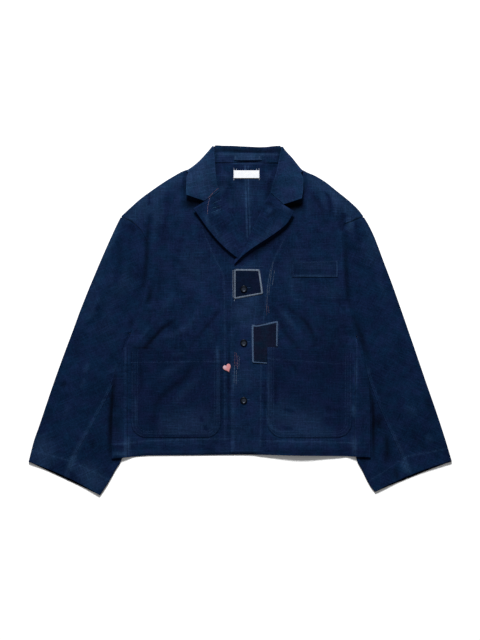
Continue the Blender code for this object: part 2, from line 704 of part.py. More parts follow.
def make_small_pieces(crest_y):
    sheet("chest_welt", quad_rows(WELT, even(7), even(3), on_right(CLOTH)), CLOTH, "pocket")
    sheet("patch_upper", quad_rows(PATCH_UPPER, [0, 0.25, 0.5, 0.72, 0.86, 1], even(5),
                                  on_right(THIN)), THIN, "patch")
    sheet("patch_lower", quad_rows(PATCH_LOWER, [0, 0.1, 0.31, 0.52, 0.76, 1], even(7),
                                  on_right(THIN, 0.1)), THIN, "patch_red")
    sheet("neck_label", quad_rows(LABEL, even(6), even(2), lambda x, y, u, v:
                                  back_z(x, y) + HALF + SEWN + THIN / 2), THIN, "label")
    sheet("hanger_loop", quad_rows(LOOP, even(8), even(1), lambda x, y, u, v:
                                   stand_z(x, y, crest_y) + HALF + SEWN + THIN / 2
                                   + 1.3 * smooth(min(u, 1 - u) / 0.3)), THIN, "collar")


def heart_point(turn, scale):
    """Point on a heart-shaped outline, tip down before it is turned."""
    hx = 16 * math.sin(turn) ** 3
    hy = 13 * math.cos(turn) - 5 * math.cos(2 * turn) - 2 * math.cos(3 * turn) - math.cos(4 * turn) + 2.5
    x = HEART_AT.x + scale * (hx * math.cos(HEART_TURN) - hy * math.sin(HEART_TURN))
    y = HEART_AT.y + scale * (hx * math.sin(HEART_TURN) + hy * math.cos(HEART_TURN))
    return x, y, front_z(x, y) + HALF + SEWN + THIN / 2


def make_heart(steps=24):
    """Small patch: a fan of two rings round one middle point."""
    verts = [heart_point(0, 0)]
    for ring in (0.5, 1.0):
        verts += [heart_point(2 * math.pi * k / steps, HEART_SIZE / 32 * ring) for k in range(steps)]
    faces = [(0, 1 + (k + 1) % steps, 1 + k) for k in range(steps)]
    faces += [(1 + k, 1 + (k + 1) % steps, 1 + steps + (k + 1) % steps, 1 + steps + k) for k in range(steps)]
    wall("heart_patch", verts, faces, THIN, "heart")


def make_button(name, at):
    """Dished round button with four holes."""
    z = right_front_z(at.x, at.y) + HALF + SEWN
    if name == "button_top":
        z += THIN + SEWN
    profile = [(0, BUTTON_H - BUTTON_DISH), (BUTTON_R * 0.62, BUTTON_H - BUTTON_DISH),
               (BUTTON_R * 0.74, BUTTON_H), (BUTTON_R - 0.5, BUTTON_H), (BUTTON_R, BUTTON_H - 0.6),
               (BUTTON_R, 0.8), (BUTTON_R - 0.8, 0), (0, 0)]
    mesh = bpy.data.meshes.new(name)
    mesh.from_pydata([(r * MM, 0, h * MM) for r, h in profile],
                     [(i, i + 1) for i in range(len(profile) - 1)], [])
    obj = bpy.data.objects.new(name, mesh)
    PARTS.objects.link(obj)
    obj.data.materials.append(FINISHES["button"])
    obj.location = (at.x * MM, at.y * MM, z * MM)
    turn = obj.modifiers.new("turn", "SCREW")
    turn.steps = turn.render_steps = 28
    turn.use_merge_vertices = True
    turn.merge_threshold = 0.00001
    turn.use_normal_calculate = True
    for k in range(4):
        a = math.pi / 4 + k * math.pi / 2
        hole = cutter(f"{name}_hole_{k}", at.x + HOLE_OFF * math.cos(a), at.y + HOLE_OFF * math.sin(a), z)
        cut = obj.modifiers.new(f"hole_{k}", "BOOLEAN")
        cut.operation = "DIFFERENCE"
        cut.solver = "EXACT"
        cut.object = hole


def cutter(name, x, y, z):
    """Round pin that pierces a button at (x, y)."""
    mesh = bpy.data.meshes.new(name)
    pin = bmesh.new()
    bmesh.ops.create_cone(pin, cap_ends=True, segments=10, radius1=HOLE_R * MM, radius2=HOLE_R * MM,
                          depth=(BUTTON_H + 2) * MM)
    pin.to_mesh(mesh)
    pin.free()
    obj = bpy.data.objects.new(name, mesh)
    CUTTERS.objects.link(obj)
    obj.location = (x * MM, y * MM, (z + BUTTON_H / 2) * MM)
    obj.hide_render = True
    obj.display_type = "WIRE"
    return obj


def centre_on_origin():
    """Move everything so that the middle of the jacket's box stands over the origin."""
    xs, ys = [], []
    for obj in PARTS.objects:
        if obj.location.length == 0:
            xs += [v.co.x for v in obj.data.vertices]
            ys += [v.co.y for v in obj.data.vertices]
    shift = Vector((-(min(xs) + max(xs)) / 2, -(min(ys) + max(ys)) / 2, 0))
    for obj in list(PARTS.objects) + list(CUTTERS.objects):
        if obj.location.length == 0:
            for v in obj.data.vertices:
                v.co += shift
        else:
            obj.location += shift


clear_scene()
PARTS = collection("patched_jacket")
CUTTERS = collection("cutters")
FINISHES = {name: material(name) for name in COLOURS}

for half in (LEFT, RIGHT):
    make_back(half)
    make_front(half)
    make_sleeve(half)
    make_lapel(half)
    make_hip_pocket(half)
CREST_Y = make_collar()
make_small_pieces(CREST_Y)
make_heart()
for button, place in BUTTONS.items():
    make_button(button, place)
centre_on_origin()
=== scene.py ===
"""Looks of a patched indigo work jacket that lies flat on its back, front up.

Every cloth piece is a fine thin shell laid on the form of its solid, with its seams, hems, soft folds,
stitches and wear. Pattern sizes are in millimetres: +X to the right sleeve, +Y to the collar, +Z up.
"""
from __future__ import annotations

import logging
import math
from dataclasses import dataclass, field, replace
from enum import Enum
from typing import Callable, Iterable, Sequence

import bmesh
import bpy
import numpy as np
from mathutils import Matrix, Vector
from mathutils.bvhtree import BVHTree


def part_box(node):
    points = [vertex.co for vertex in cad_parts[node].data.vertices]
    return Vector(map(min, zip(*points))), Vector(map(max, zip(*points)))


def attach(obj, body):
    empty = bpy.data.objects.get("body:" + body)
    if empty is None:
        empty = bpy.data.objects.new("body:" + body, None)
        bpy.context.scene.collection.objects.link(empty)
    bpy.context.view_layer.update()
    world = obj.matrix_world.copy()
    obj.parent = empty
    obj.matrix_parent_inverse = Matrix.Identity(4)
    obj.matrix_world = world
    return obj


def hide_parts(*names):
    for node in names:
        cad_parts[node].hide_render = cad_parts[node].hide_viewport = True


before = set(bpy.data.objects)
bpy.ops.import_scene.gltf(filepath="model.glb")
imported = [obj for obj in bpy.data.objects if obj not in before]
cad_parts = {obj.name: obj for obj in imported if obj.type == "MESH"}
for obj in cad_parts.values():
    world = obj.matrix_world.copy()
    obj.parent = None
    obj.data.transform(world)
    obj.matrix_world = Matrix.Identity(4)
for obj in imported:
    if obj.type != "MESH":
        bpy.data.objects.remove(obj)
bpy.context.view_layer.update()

LOG = logging.getLogger("jacket")
MM = 0.001
PER_METRE = (1000.0, 1000.0, 1000.0)   # millimetres in a metre, along each axis
Array = np.ndarray
Colour = tuple[float, float, float]
Point = tuple[float, float]
Line = tuple[Point, ...]

# Cloth and layers, as in the solids
CLOTH = 1.4             # walls of the jacket's own cloth
THIN = 1.0              # walls of patches, label and loop
SEWN = 0.45             # gap beneath a piece that is sewn on
HALF = CLOTH / 2
LAYER = CLOTH + 0.8     # from one layer's middle to the next one's
SEAM = 0.3              # gap between pieces that meet at a seam
SLEEVE_LIFT = 4.4       # the body's sides lie this high, on the sleeves
NECK_LIFT = 2.5         # and the neck this high, on the collar leaf
BASE_FULL = 1.25        # how far the upper layers stand off the lower ones
# Collar and lapels
TURN_RISE = (5.0, 6.4)  # the free edges stand this far off, left and right
TURN_REACH = 42.0       # and reach that height this far from the roll
CORNER_RISE = 4.2       # the collar's points stand this much higher
LIP = 1.6               # radius of a rolled edge
LEAF_RADIUS = 1.9       # radius of the leaf's turn behind the neck
ROLL_TOP = 5.9          # height of the stand's rolled top
ROLL_Y = 405.3
FALL_LOW_Y = 338.0      # lower edge of the leaf behind the neck
NECK_Y = 368.0          # seam between back and stand
STAND_TALL = 37.0
# Front edge, hem and cuffs
LAP_START, LAP_FULL = 58.0, 34.0   # the lap begins at one x and is full at the other
HEM_WAVE = (138.0, 68.0, 5.8)      # middle, spread and height of the lifted part of the hem
HEM_TURN = -296.0       # the rows bend to the hem's line below this
HEM_BEND = 14.0         # and have reached it this much lower
HEM_SHORT = 5.2         # the lower layers end this much higher than the upper one
HEM_SHORT_REACH = 30.0
SAG = 0.25              # how far the rows beside the armhole follow the shoulder's bow
TIP_SHARE = 0.945       # where the last row leaves the armhole, on the way to the shoulder
SHOULDER_TURN = (78, 62, 48, 38, 30)   # degrees of the rows that turn in to the shoulder seam
NECK_START = 360.0      # a front's rows that end higher up
NECK_BLEND = (346.0, 20.0)         # are drawn to the shoulder's end from here, over this much
CUFF_BOW = 6.2          # hollow of the upper layer's cuff edge
CUFF_ARCH = 0.22        # share of it in the right sleeve's lower layer
# Looks
WEAR = 0.45             # strength of the wear along seams
GRID = 2.7              # spacing of the fine cloth grid
HALF_WIDTH = 290.0      # about what half of the body measures across
SIDE_STRIP = 256.0      # beyond this x the back shows beside the front
HIDDEN_GRID = 1.7 * GRID   # spacing across the back
FAR = 1e5               # stands in for a missing point


class Side(Enum):
    """The two sides of the jacket as it lies."""

    LEFT = -1
    RIGHT = 1

    @property
    def word(self) -> str:
        """Name used in node names."""
        return self.name.lower()


def placed(name: str, data: bpy.types.ID) -> bpy.types.Object:
    """New object with the given data, linked to the scene."""
    obj = bpy.data.objects.new(name, data)
    bpy.context.scene.collection.objects.link(obj)
    return obj


def weld_points(mesh: bpy.types.Mesh) -> None:
    """Join the mesh's points that lie on each other."""
    work = bmesh.new()
    work.from_mesh(mesh)
    bmesh.ops.remove_doubles(work, verts=work.verts, dist=1e-6)
    work.to_mesh(mesh)
    work.free()


# ---------------------------------------------------------------- small mathematics
def smooth(t: Array | float) -> Array:
    """Ease from 0 to 1, flat beyond."""
    t = np.clip(t, 0.0, 1.0)
    return t * t * (3 - 2 * t)


def above(value: Array | float, start: Array | float, over: Array | float) -> Array:
    """0 up to start, easing to 1 once the value is higher by over."""
    return smooth((value - start) / over)


def below(value: Array | float, start: Array | float, over: Array | float) -> Array:
    """0 down to start, easing to 1 once the value is lower by over."""
    return smooth((start - value) / over)


def mix(a: Array | float, b: Array | float, t: Array | float) -> Array:
    """Straight blend from a to b."""
    return a + (b - a) * t


def unit(runs: Array) -> Array:
    """Each row of plan runs brought to length 1."""
    return runs / np.linalg.norm(runs, axis=1, keepdims=True)


class Rail:
    """Smooth curve through a short table, giving a value for each key without overshoot.

    Args:
        rows: (key, value) pairs in either order; beyond its ends the curve keeps its end values.
    """

    def __init__(self, rows: Iterable[Point]) -> None:
        """Sort the table and work out the slope at each key."""
        pairs = sorted(rows)
        self.keys = np.array([k for k, _ in pairs], float)
        self.values = np.array([v for _, v in pairs], float)
        step = np.diff(self.values) / np.diff(self.keys)
        slope = np.zeros(len(pairs))
        slope[0], slope[-1] = step[0], step[-1]
        same = step[:-1] * step[1:] > 0
        both = np.where(same, step[:-1] + step[1:], 1.0)
        slope[1:-1] = np.where(same, 2 * step[:-1] * step[1:] / both, 0.0)
        self.slopes = slope

    def __call__(self, key: Array | float) -> Array:
        """Value at key."""
        key = np.clip(np.asarray(key, float), self.keys[0], self.keys[-1])
        i = np.clip(np.searchsorted(self.keys, key, side="right") - 1, 0, len(self.keys) - 2)
        span = self.keys[i + 1] - self.keys[i]
        t = (key - self.keys[i]) / span
        t2, t3 = t * t, t * t * t
        return ((2 * t3 - 3 * t2 + 1) * self.values[i] + (t3 - 2 * t2 + t) * span * self.slopes[i]
                + (3 * t2 - 2 * t3) * self.values[i + 1] + (t3 - t2) * span * self.slopes[i + 1])


def spaced(length: float, step: float, edges: tuple[float, ...] = (0.7, 1.7)) -> Array:
    """Shares from 0 to 1 along a length, closer together at both ends.

    Args:
        length: The whole length.
        step: About how far apart the points are.
        edges: Ways from each end to its extra points.
    """
    inner = np.linspace(0, length, max(2, round(length / step)) + 1)
    inner = inner[(inner > edges[-1] + 0.4 * step) & (inner < length - edges[-1] - 0.4 * step)]
    ends = np.array((0.0, *edges))
    return np.concatenate([ends, inner, length - ends[::-1]]) / length


def polyline(points: Sequence[Point], step: float = 2.0, soft: bool = True) -> Array:
    """Points about step apart along a path, rounded at its table's points if soft."""
    path = np.array(points, float)
    if soft and len(path) > 2:
        chord = np.concatenate([[0], np.cumsum(np.linalg.norm(np.diff(path, axis=0), axis=1))])
        rails = [Rail(zip(chord, path[:, k])) for k in (0, 1)]
        at = np.linspace(0, chord[-1], max(2, round(chord[-1] / step)) + 1)
        return np.stack([rail(at) for rail in rails], axis=1)
    out = []
    for a, b in zip(path, path[1:]):
        count = max(1, round(float(np.linalg.norm(b - a)) / step))
        out += [a + (b - a) * k / count for k in range(count)]
    return np.array(out + [path[-1]])


def offset_path(path: Array, distance: float) -> Array:
    """Path moved sideways, to the left of its direction when distance is positive."""
    run = np.gradient(path, axis=0)
    run /= np.maximum(np.linalg.norm(run, axis=1, keepdims=True), 1e-9)
    return path + np.stack([-run[:, 1], run[:, 0]], axis=1) * distance


def along_path(path: Array, x: Array, y: Array) -> tuple[Array, Array, Array]:
    """How far points lie from a path.

    Args:
        path: Points of the path.
        x: Places across.
        y: Places along.

    Returns:
        Signed distance (above 0 to the path's left), way along the path, and plain distance.
    """
    best = np.full(x.shape, 1e9)
    along, signed = np.zeros_like(x), np.full(x.shape, 1e9)
    start = 0.0
    for a, b in zip(path, path[1:]):
        run = b - a
        length = float(np.hypot(*run))
        t = ((x - a[0]) * run[0] + (y - a[1]) * run[1]) / length ** 2
        k = np.clip(t, 0, 1)
        gap = np.hypot(x - a[0] - run[0] * k, y - a[1] - run[1] * k)
        closer = gap < best
        best = np.where(closer, gap, best)
        along = np.where(closer, start + k * length, along)
        side = np.sign(run[0] * (y - a[1]) - run[1] * (x - a[0]))
        signed = np.where(closer, gap * np.where(side == 0, 1, side), signed)
        start += length
    return signed, along, best


def ripple(s: Array, seed: int, length: float = 11.0) -> Array:
    """Uneven wave along a seam, from -1 to 1, the same every time for one seed."""
    a, b, c = 0.7 + 1.3 * seed, 2.1 + 2.7 * seed, 4.4 + 0.9 * seed
    k = 2 * math.pi / length
    return 0.5 * np.sin(k * s + a) + 0.3 * np.sin(0.61 * k * s + b) + 0.2 * np.sin(1.73 * k * s + c)


# ---------------------------------------------------------------- the cut
@dataclass(frozen=True)
class Cut:
    """Outline tables of one side, as (y, distance from the plane X = 0) rows; pit is the armpit's y."""

    sign: int
    pit: float
    shoulder: Line
    armhole: Line
    fold: Line
    seam: Line
    front_edge: Line
    sleeve_out: Line
    sleeve_in: Line
    sleeve_seam: Line
    sleeve_back: Line

    def rail(self, name: str) -> Rail:
        """Smooth curve of one of the tables."""
        return Rail(getattr(self, name))

    def front_outer(self) -> Rail:
        """Outer edge of a front: armhole above the pit, side seam below it."""
        return Rail([*self.armhole, *(row for row in self.seam if row[0] < self.pit - 8)])


CUTS = {
    Side.LEFT: Cut(
        sign=-1, pit=-28.0,
        shoulder=((368, 74), (355.6, 112.5), (349.7, 132), (340.6, 149.5), (321.6, 181.1), (302.6, 208.6),
                  (283.8, 233.9), (265.2, 254.8), (244, 277.6)),
        armhole=((244, 277.6), (227, 247), (203, 226), (177, 216), (130, 217), (80, 220), (28, 233),
                 (-28, 254)),
        fold=((-28, 254), (-52, 265.4), (-73, 276), (-147, 297), (-322, 299.5)),
        seam=((-28, 250.6), (-52, 260.5), (-73, 262), (-322, 262)),
        front_edge=((-330, 30), (120, 30), (191, 9), (312, -60), (345, -66), (366, -76)),
        sleeve_out=((244, 277.6), (225, 287.2), (197, 300.2), (141, 325), (29.5, 371), (-26, 391.4),
                    (-82.5, 412.6), (-150, 436.8), (-194.5, 451.8), (-250, 470.5), (-278.5, 480.6),
                    (-328.9, 493.6)),
        sleeve_in=((-30, 254.4), (-40, 256.5), (-60, 259.0), (-100, 262), (-200, 270), (-317, 275),
                   (-352, 293), (-385, 312), (-406.2, 326.6)),
        sleeve_seam=((-28, 254.4), (-36, 263), (-60, 273), (-100, 282), (-145, 295), (-240, 343),
                     (-337, 394), (-400, 412)),
        sleeve_back=((-28, 254.4), (-36, 264), (-60, 278), (-150, 315), (-300, 370), (-400, 402))),
    Side.RIGHT: Cut(
        sign=1, pit=-35.0,
        shoulder=((367, 108), (351.3, 146.5), (345.3, 158.5), (340.5, 170.4), (326.4, 195.5), (302.4, 226.3),
                  (279.4, 254.7), (261.4, 273.9), (244, 287.4)),
        armhole=((244, 287.4), (232, 262), (224, 241), (195, 237), (150, 241), (100, 245), (40, 252),
                 (-35, 270)),
        fold=((-35, 270), (-84, 283), (-125, 297), (-162, 302), (-320, 304)),
        seam=((-35, 266.6), (-60, 269.5), (-320, 265)),
        front_edge=((-330, -22), (128, -22), (133, -8), (189, 23), (289, 73), (312, 82), (352, 99),
                    (366, 109)),
        sleeve_out=((244, 287.4), (225, 298.7), (197, 312.3), (141, 333.5), (90, 352.8), (29.5, 374.2),
                    (-26, 393.4), (-82.5, 412.8), (-150, 435.8), (-208, 456.0), (-278.5, 479),
                    (-327.4, 493.5)),
        sleeve_in=((-37, 270.4), (-47, 271.0), (-72, 272.5), (-120, 272), (-200, 271), (-317, 270.4),
                   (-352, 286), (-387, 304.2), (-398.8, 314.0)),
        sleeve_seam=((-35, 270.4), (-43, 279), (-65, 287), (-100, 292), (-130, 298), (-210, 328),
                     (-340, 386), (-390, 404)),
        sleeve_back=((-35, 270.4), (-43, 280), (-65, 291), (-150, 320), (-300, 372), (-400, 398))),
}

HEM = Rail(((-300, -321), (-257, -317.4), (-209, -314.0), (-93, -313.1), (24, -311.9), (141, -314),
            (234, -315.2), (304, -318)))
CENTRE_BACK = Rail(((-330, 20.0), (190, 19.5), (368, 16.5)))


@dataclass(frozen=True)
class Row:
    """One guiding row of a body panel: y at its outer edge, at the back's and at the front's inner edge."""

    out_y: float
    back_y: float
    front_y: float
    sag: float


def body_rows(side: Side) -> list[Row]:
    """Guiding rows from the hem to the shoulder."""
    cut = CUTS[side]
    low = [Row(y, y, y, 0.0) for y in (-290, -255, -215, -175, -135, -100, -76, -52)]
    rows = [Row(float(HEM(cut.sign * 280)), float(HEM(20)), float(HEM(0)), 0.0), *low]
    rows.append(Row(cut.pit, -28, -28, 0.0))
    inner = ((35, 28), (92, 72), (145, 112), (195, 150), (240, 195), (280, 240))
    for (y, _), (back_y, front_y) in zip(reversed(cut.armhole[1:-1]), inner):
        rows.append(Row(y, back_y, front_y, SAG))
    tip, first = cut.armhole[0][0], cut.armhole[1][0]
    head = ((0.35, 309, 282, 0.75), (0.7, 336, 318, 0.75), (0.85, 353, 346, 0.75), (TIP_SHARE, 368, 366, 1.0))
    rows += [Row(mix(first, tip, step), back_y, front_y, sag) for step, back_y, front_y, sag in head]
    return rows


SLEEVE_ROWS = ((242, 241.5), (227, 229), (203, 212), (177, 193), (130, 152), (80, 106), (28, 56), (-28, 6),
               (-37, -8), (-58, -32), (-98, -68), (-148, -110), (-203, -157), (-258, -205), (-312, -252),
               (-360, -292), (-407, -329))          # y on the inner and on the outer edge
PIT_ROW = 7


@dataclass(frozen=True)
class Fold:
    """Soft crease along a path, fading out at its ends.

    It is a ridge where height is above 0, else a trough. Tone lightens (above 0) or darkens the colour:
    painted highlight on ridges, painted shade in troughs and shadows, and pale wear along some lines.
    """

    points: Line
    width: float
    height: float = 0.0
    tone: float = 0.0

    def share(self, x: Array, y: Array) -> Array:
        """Strength from 0 to 1 at each point."""
        path = polyline(self.points, 7.0)
        low, high = path.min(axis=0) - 1.5 * self.width, path.max(axis=0) + 1.5 * self.width
        found = np.zeros(np.shape(x))
        near = (x > low[0]) & (x < high[0]) & (y > low[1]) & (y < high[1])
        if near.any():
            _, along, gap = along_path(path, x[near], y[near])
            length = float(np.linalg.norm(np.diff(path, axis=0), axis=1).sum())
            ends = np.sin(math.pi * np.clip(along / length, 0, 1)) ** 0.6
            found[near] = ends * np.exp(-(gap / (0.55 * self.width)) ** 2)
        return found


def folds(*rows: tuple) -> tuple[Fold, ...]:
    """Folds from rows of numbers: width, height, tone and then x, y of each point."""
    return tuple(Fold(tuple(zip(row[3::2], row[4::2])), *row[:3]) for row in rows)


def tints(*rows: tuple) -> tuple[Fold, ...]:
    """Changes of colour alone, without relief, from rows of numbers: width, tone and then x, y of each point.
    """
    return folds(*((width, 0.0, *rest) for width, *rest in rows))


# Broad differences of colour: faded shoulders and front edge, darker side strips, and painted shade that
# darkens the inner sleeves and broad hollows of the fronts
FADING_AND_SHADE = tints(
    (34, 0.34, -90, 372, -132, 344, -182, 314, -236, 276, -282, 236),
    (34, 0.3, 118, 366, 158, 338, 204, 308, 246, 272, 292, 236),
    (58, 0.22, 14, 160, 20, 80, 22, 0, 20, -90), (50, 0.1, -10, -180, 10, -300),
    (26, 0.08, -250, -300, 250, -300), (60, 0.16, 6, -96, 8, -168), (46, -0.16, -12, -206, 28, -212),
    (34, -0.2, 14, -14, 14, -70), (24, 0.14, -6, 44, -6, -6), (80, -0.12, -250, -20, -190, -120),
    (40, -0.22, 318, -120, 334, -220, 330, -340), (40, -0.1, -322, -120, -334, -220, -334, -340),
    (44, -0.2, -286, -90, -284, -200, -282, -300), (44, -0.12, 288, -90, 290, -200, 288, -300),
    (60, -0.05, 190, 260, 214, 190, 222, 120), (120, 0.08, -250, 60, -330, -60),
    (74, -0.2, -292, 34, -240, 10, -170, -20), (40, -0.2, -266, -44, -214, -60, -174, -50),
    (34, -0.2, -178, 200, -180, 140, -196, 40), (62, 0.11, -112, 184, -104, 74),
    (50, 0.14, -292, 134, -262, 56), (52, 0.18, -248, 258, -160, 250), (42, 0.12, 128, 174, 126, 54),
    (96, -0.25, 130, 0, 220, -62, 200, -150), (56, -0.1, 126, 6, 170, -42), (34, 0.14, 184, 72, 240, 58),
    (44, 0.12, 288, 206, 322, 118), (50, 0.1, 226, 262, 270, 190), (26, 0.16, -262, 250, -240, 226),
    (60, 0.23, -200, -244, -50, -236), (60, 0.24, 62, -180, 110, -226, 226, -256),
    (46, 0.34, -474, -262, -450, -346), (44, 0.32, -376, -330, -322, -396),
    (24, 0.14, -283, 236, -320, 150, -350, 60, -374, -10), (26, -0.22, -290, -222, -286, -302),
    (24, -0.12, 264, -200, 266, -308), (50, -0.08, 326, -326, 392, -350))

# Creases of the upper layer: fronts, their pockets, and the upper sleeves. Their tone is painted highlight on
# ridges and painted shade in troughs; the rows of height 0 are painted shadows beside raised edges, and the
# pale rows along the side seams and hems are wear.
CREASES = folds(
    # left chest and armhole
    (11, -1.2, -0.6, -208, 252, -213, 225, -217, 185, -218, 150, -222, 105, -228, 68),
    (9, -0.6, -0.3, -212, 300, -212, 268), (17, -0.5, -0.3, -259, 228, -253, 216, -242, 204),
    (14, -0.6, -0.24, -271, 205, -282, 178, -281, 145, -290, 82), (9, -0.4, -0.25, -238, 206, -222, 186),
    (16, 0.9, 0.05, -192, 310, -197, 250, -200, 200, -206, 130, -213, 72),
    (9, 0.4, 0.05, -220, 66, -232, 20, -248, -26),
    (11, -0.7, -0.16, -164, 330, -170, 280, -172, 240, -182, 172),
    (26, 1, 0.08, -137, 326, -137, 280, -143, 232), (12, -1.2, -0.5, -206, 80, -211, 58, -215, 36),
    (16, -0.5, -0.18, -198, 30, -222, 6), (18, 1.6, 0.14, -154, 64, -176, 34, -200, 2, -236, -44),
    (15, 0.7, 0.22, -210, -14, -227, -34, -242, -56), (12, -0.8, -0.2, -106, 68, -124, 40, -152, 10),
    (10, -1.5, -0.6, -146, 4, -176, -14, -200, -38, -228, -68),
    (16, 1.3, 0.12, -94, 28, -112, -2, -146, -28, -204, -48),
    (10, -1, -0.3, -44, 42, -64, 2, -86, -22, -102, -42, -118, -64), (16, 0.8, 0.08, -66, -16, -70, -52),
    (10, -0.3, -0.14, -125, 224, -136, 190, -152, 140),
    # right chest and armhole
    (12, -0.9, -0.45, 242, 252, 238, 228, 236, 208),
    (12, -1.2, -0.5, 246, 212, 246, 160, 248, 100, 251, 55, 264, 20),
    (16, 1, 0.22, 251, 244, 256, 224, 255, 204), (9, -0.6, -0.3, 268, 232, 272, 212, 278, 188),
    (10, -0.9, -0.32, 157, 306, 178, 278, 191, 256, 198, 220),
    (8, -0.6, -0.24, 192, 308, 207, 286, 211, 266, 204, 242), (10, 0.7, 0.1, 187, 298, 196, 276, 202, 254),
    (13, 0.8, 0.14, 200, 320, 221, 290, 222, 242), (22, 0.9, 0.08, 148, 298, 166, 244),
    (7, -0.2, -0.12, 150, 146, 190, 144, 228, 146), (10, -0.7, -0.2, 72, 36, 86, 8, 97, -10),
    (12, -1.2, -0.36, 104, 48, 124, 20, 150, 0, 166, -26, 179, -64),
    (15, 1.3, 0.18, 90, 32, 112, 3, 132, -22, 149, -50),
    (12, -1.1, -0.38, 93, 0, 106, -30, 122, -48, 139, -68), (8, -0.5, -0.22, 227, 50, 233, 34),
    (8, -0.4, -0.16, 220, 3, 252, 0), (9, 0.4, 0.1, 227, 25, 246, 15),
    (14, -1.1, -0.6, 262, 16, 276, -20, 289, -58, 300, -98),
    # round the left pocket
    (5, -0.2, -0.4, -254, -62, -230, -63, -204, -62), (5, -0.2, -0.3, -166, -62, -124, -62),
    (10, 0.5, 0.14, -224, -82, -188, -82), (10, 0.5, 0.12, -162, -79, -128, -77),
    (6, 0.2, 0.34, -54, -58, -53, -96), (4, 0.1, 0.16, -52, -90, -52, -236),
    # second row: painted shadow on the left front beside the right front's free edge
    (5, -0.2, -0.28, -43, -96, -43, -246), (4, 0, -0.38, -26, -20, -27, -120, -26, -250, -24, -316),
    (4, 0.1, 0.12, -16, -14, -16, -304), (5, 0.1, 0.22, -16, -122, -16, -168),
    (5, 0.1, 0.22, -16, -250, -16, -310), (6, -0.3, -0.22, -252, -68, -252, -118),
    (7, -0.4, -0.26, -233, -94, -230, -150, -238, -170, -258, -177), (6, 0.3, 0.18, -243, -174, -242, -252),
    (15, -1.4, -0.44, -84, -92, -112, -108, -130, -135, -155, -153, -182, -178, -197, -200, -202, -228,
     -217, -248),
    (18, 0.9, 0.1, -192, -142, -160, -115, -128, -98), (18, 1, 0.12, -94, -132, -124, -160, -158, -198),
    (9, -0.5, -0.2, -92, -220, -88, -238), (8, -0.4, -0.18, -82, -242, -78, -258),
    (5, -0.2, -0.26, -228, -268, -150, -269, -76, -268), (9, -0.4, -0.26, -257, -296, -198, -298),
    (8, -0.3, -0.2, -184, -296, -136, -298), (9, -0.4, -0.22, -124, -297, -56, -296),
    (6, 0.2, 0.42, -300, -286, -262, -285), (9, 0.2, 0.42, -300, -310, -262, -310),
    (15, 0.4, 0.48, -263, -268, -263, -316),
    # painted shadow of the body's side edge on the left under sleeve
    (11, 0, -0.75, -288, -116, -296, -160, -300, -200, -303, -250, -304, -330),
    # round the right pocket
    (5, -0.2, -0.3, 110, -63, 144, -63), (9, -0.4, -0.3, 83, -108, 83, -200),
    (5, -0.2, -0.24, 57, -108, 57, -288), (7, 0.2, 0.16, 67, -96, 66, -150, 66, -208),
    (6, 0.2, 0.2, 59, -208, 70, -245, 104, -264), (7, -0.4, -0.26, 100, -206, 130, -212),
    (8, -0.4, -0.24, 196, -203, 240, -212), (24, -0.5, -0.16, 186, -236, 244, -238),
    (7, -0.4, -0.24, 93, -245, 124, -253), (9, -0.4, -0.16, 195, -148, 195, -174),
    (9, -0.6, -0.24, 92, -90, 122, -102, 137, -134), (9, 0.2, 0.45, 264, -194, 264, -226),
    (13, 0.4, 0.48, 264, -264, 265, -310), (8, 0.2, 0.25, 269, -90, 269, -154),
    (10, -0.5, -0.3, 52, -300, 100, -302, 240, -304, 266, -302),
    (6, -0.3, -0.42, 94, -309, 170, -310, 246, -310),
    # first row: painted shadow of the body's side edge on the right under sleeve; second row: a trough with
    # painted shade
    (9, 0, -0.75, 300, -148, 309, -200, 310, -250, 311, -330), (16, -0.5, -0.6, 322, -216, 322, -254),
    # sleeves
    (12, 0.3, 0.24, -276, 240, -296, 196, -320, 142), (12, 0.3, 0.16, 284, 238, 300, 205, 326, 148),
    (12, -0.6, -0.26, -324, 34, -338, 26), (11, -0.5, -0.2, -322, 14, -336, 6),
    (12, -0.5, -0.16, -284, 32, -300, 20), (14, 0.7, 0.1, -326, 60, -345, 20, -360, -10),
    (11, -0.7, -0.3, -252, 4, -258, -20), (13, -0.6, -0.18, -340, 2, -360, -14),
    (14, -0.6, -0.22, -364, -20, -378, -50, -382, -92), (13, -0.9, -0.45, -402, -145, -421, -154),
    (14, -0.6, -0.25, -444, -202, -450, -240), (10, 0.5, 0.16, -352, -96, -364, -124),
    (9, 0.4, 0.14, -362, -134, -372, -158), (18, 0.6, 0.12, -290, -106, -308, -124),
    (12, 0.7, 0.08, -398, -196, -412, -226), (12, -0.5, -0.18, -384, -262, -400, -288),
    (8, -0.4, -0.24, -402, -292, -416, -290), (16, -0.7, -0.36, -336, -284, -352, -292),
    # second row: painted shadow of the hem's corner on the left sleeve
    (15, 0.4, 0.36, -384, -312, -396, -352), (13, 0, -0.5, -296, -316, -278, -326),
    (12, -0.6, -0.18, 396, -95, 402, -130), (14, -0.9, -0.38, 427, -166, 440, -200, 454, -230),
    (20, 0.9, 0.12, 386, -196, 412, -224), (12, -0.9, -0.34, 398, -244, 410, -278, 436, -299),
    (14, 0.7, 0.12, 432, -262, 448, -286), (10, -0.5, -0.22, 378, -236, 392, -252),
    (13, -0.9, -0.55, 341, -262, 343, -300, 338, -334), (10, 0.4, 0.14, 326, -268, 330, -310),
    (17, 0.4, 0.36, 378, -322, 388, -356), (12, -0.5, -0.55, 360, -340, 368, -374),
    # first row: painted shadow of the hem's corner on the right sleeve
    (13, 0, -0.5, 276, -324, 298, -318), (13, -0.6, -0.14, 330, -20, 352, -70),
    (14, 0.8, 0.08, 318, 110, 344, 40), (13, -0.6, -0.12, 296, 130, 318, 60, 326, 10))

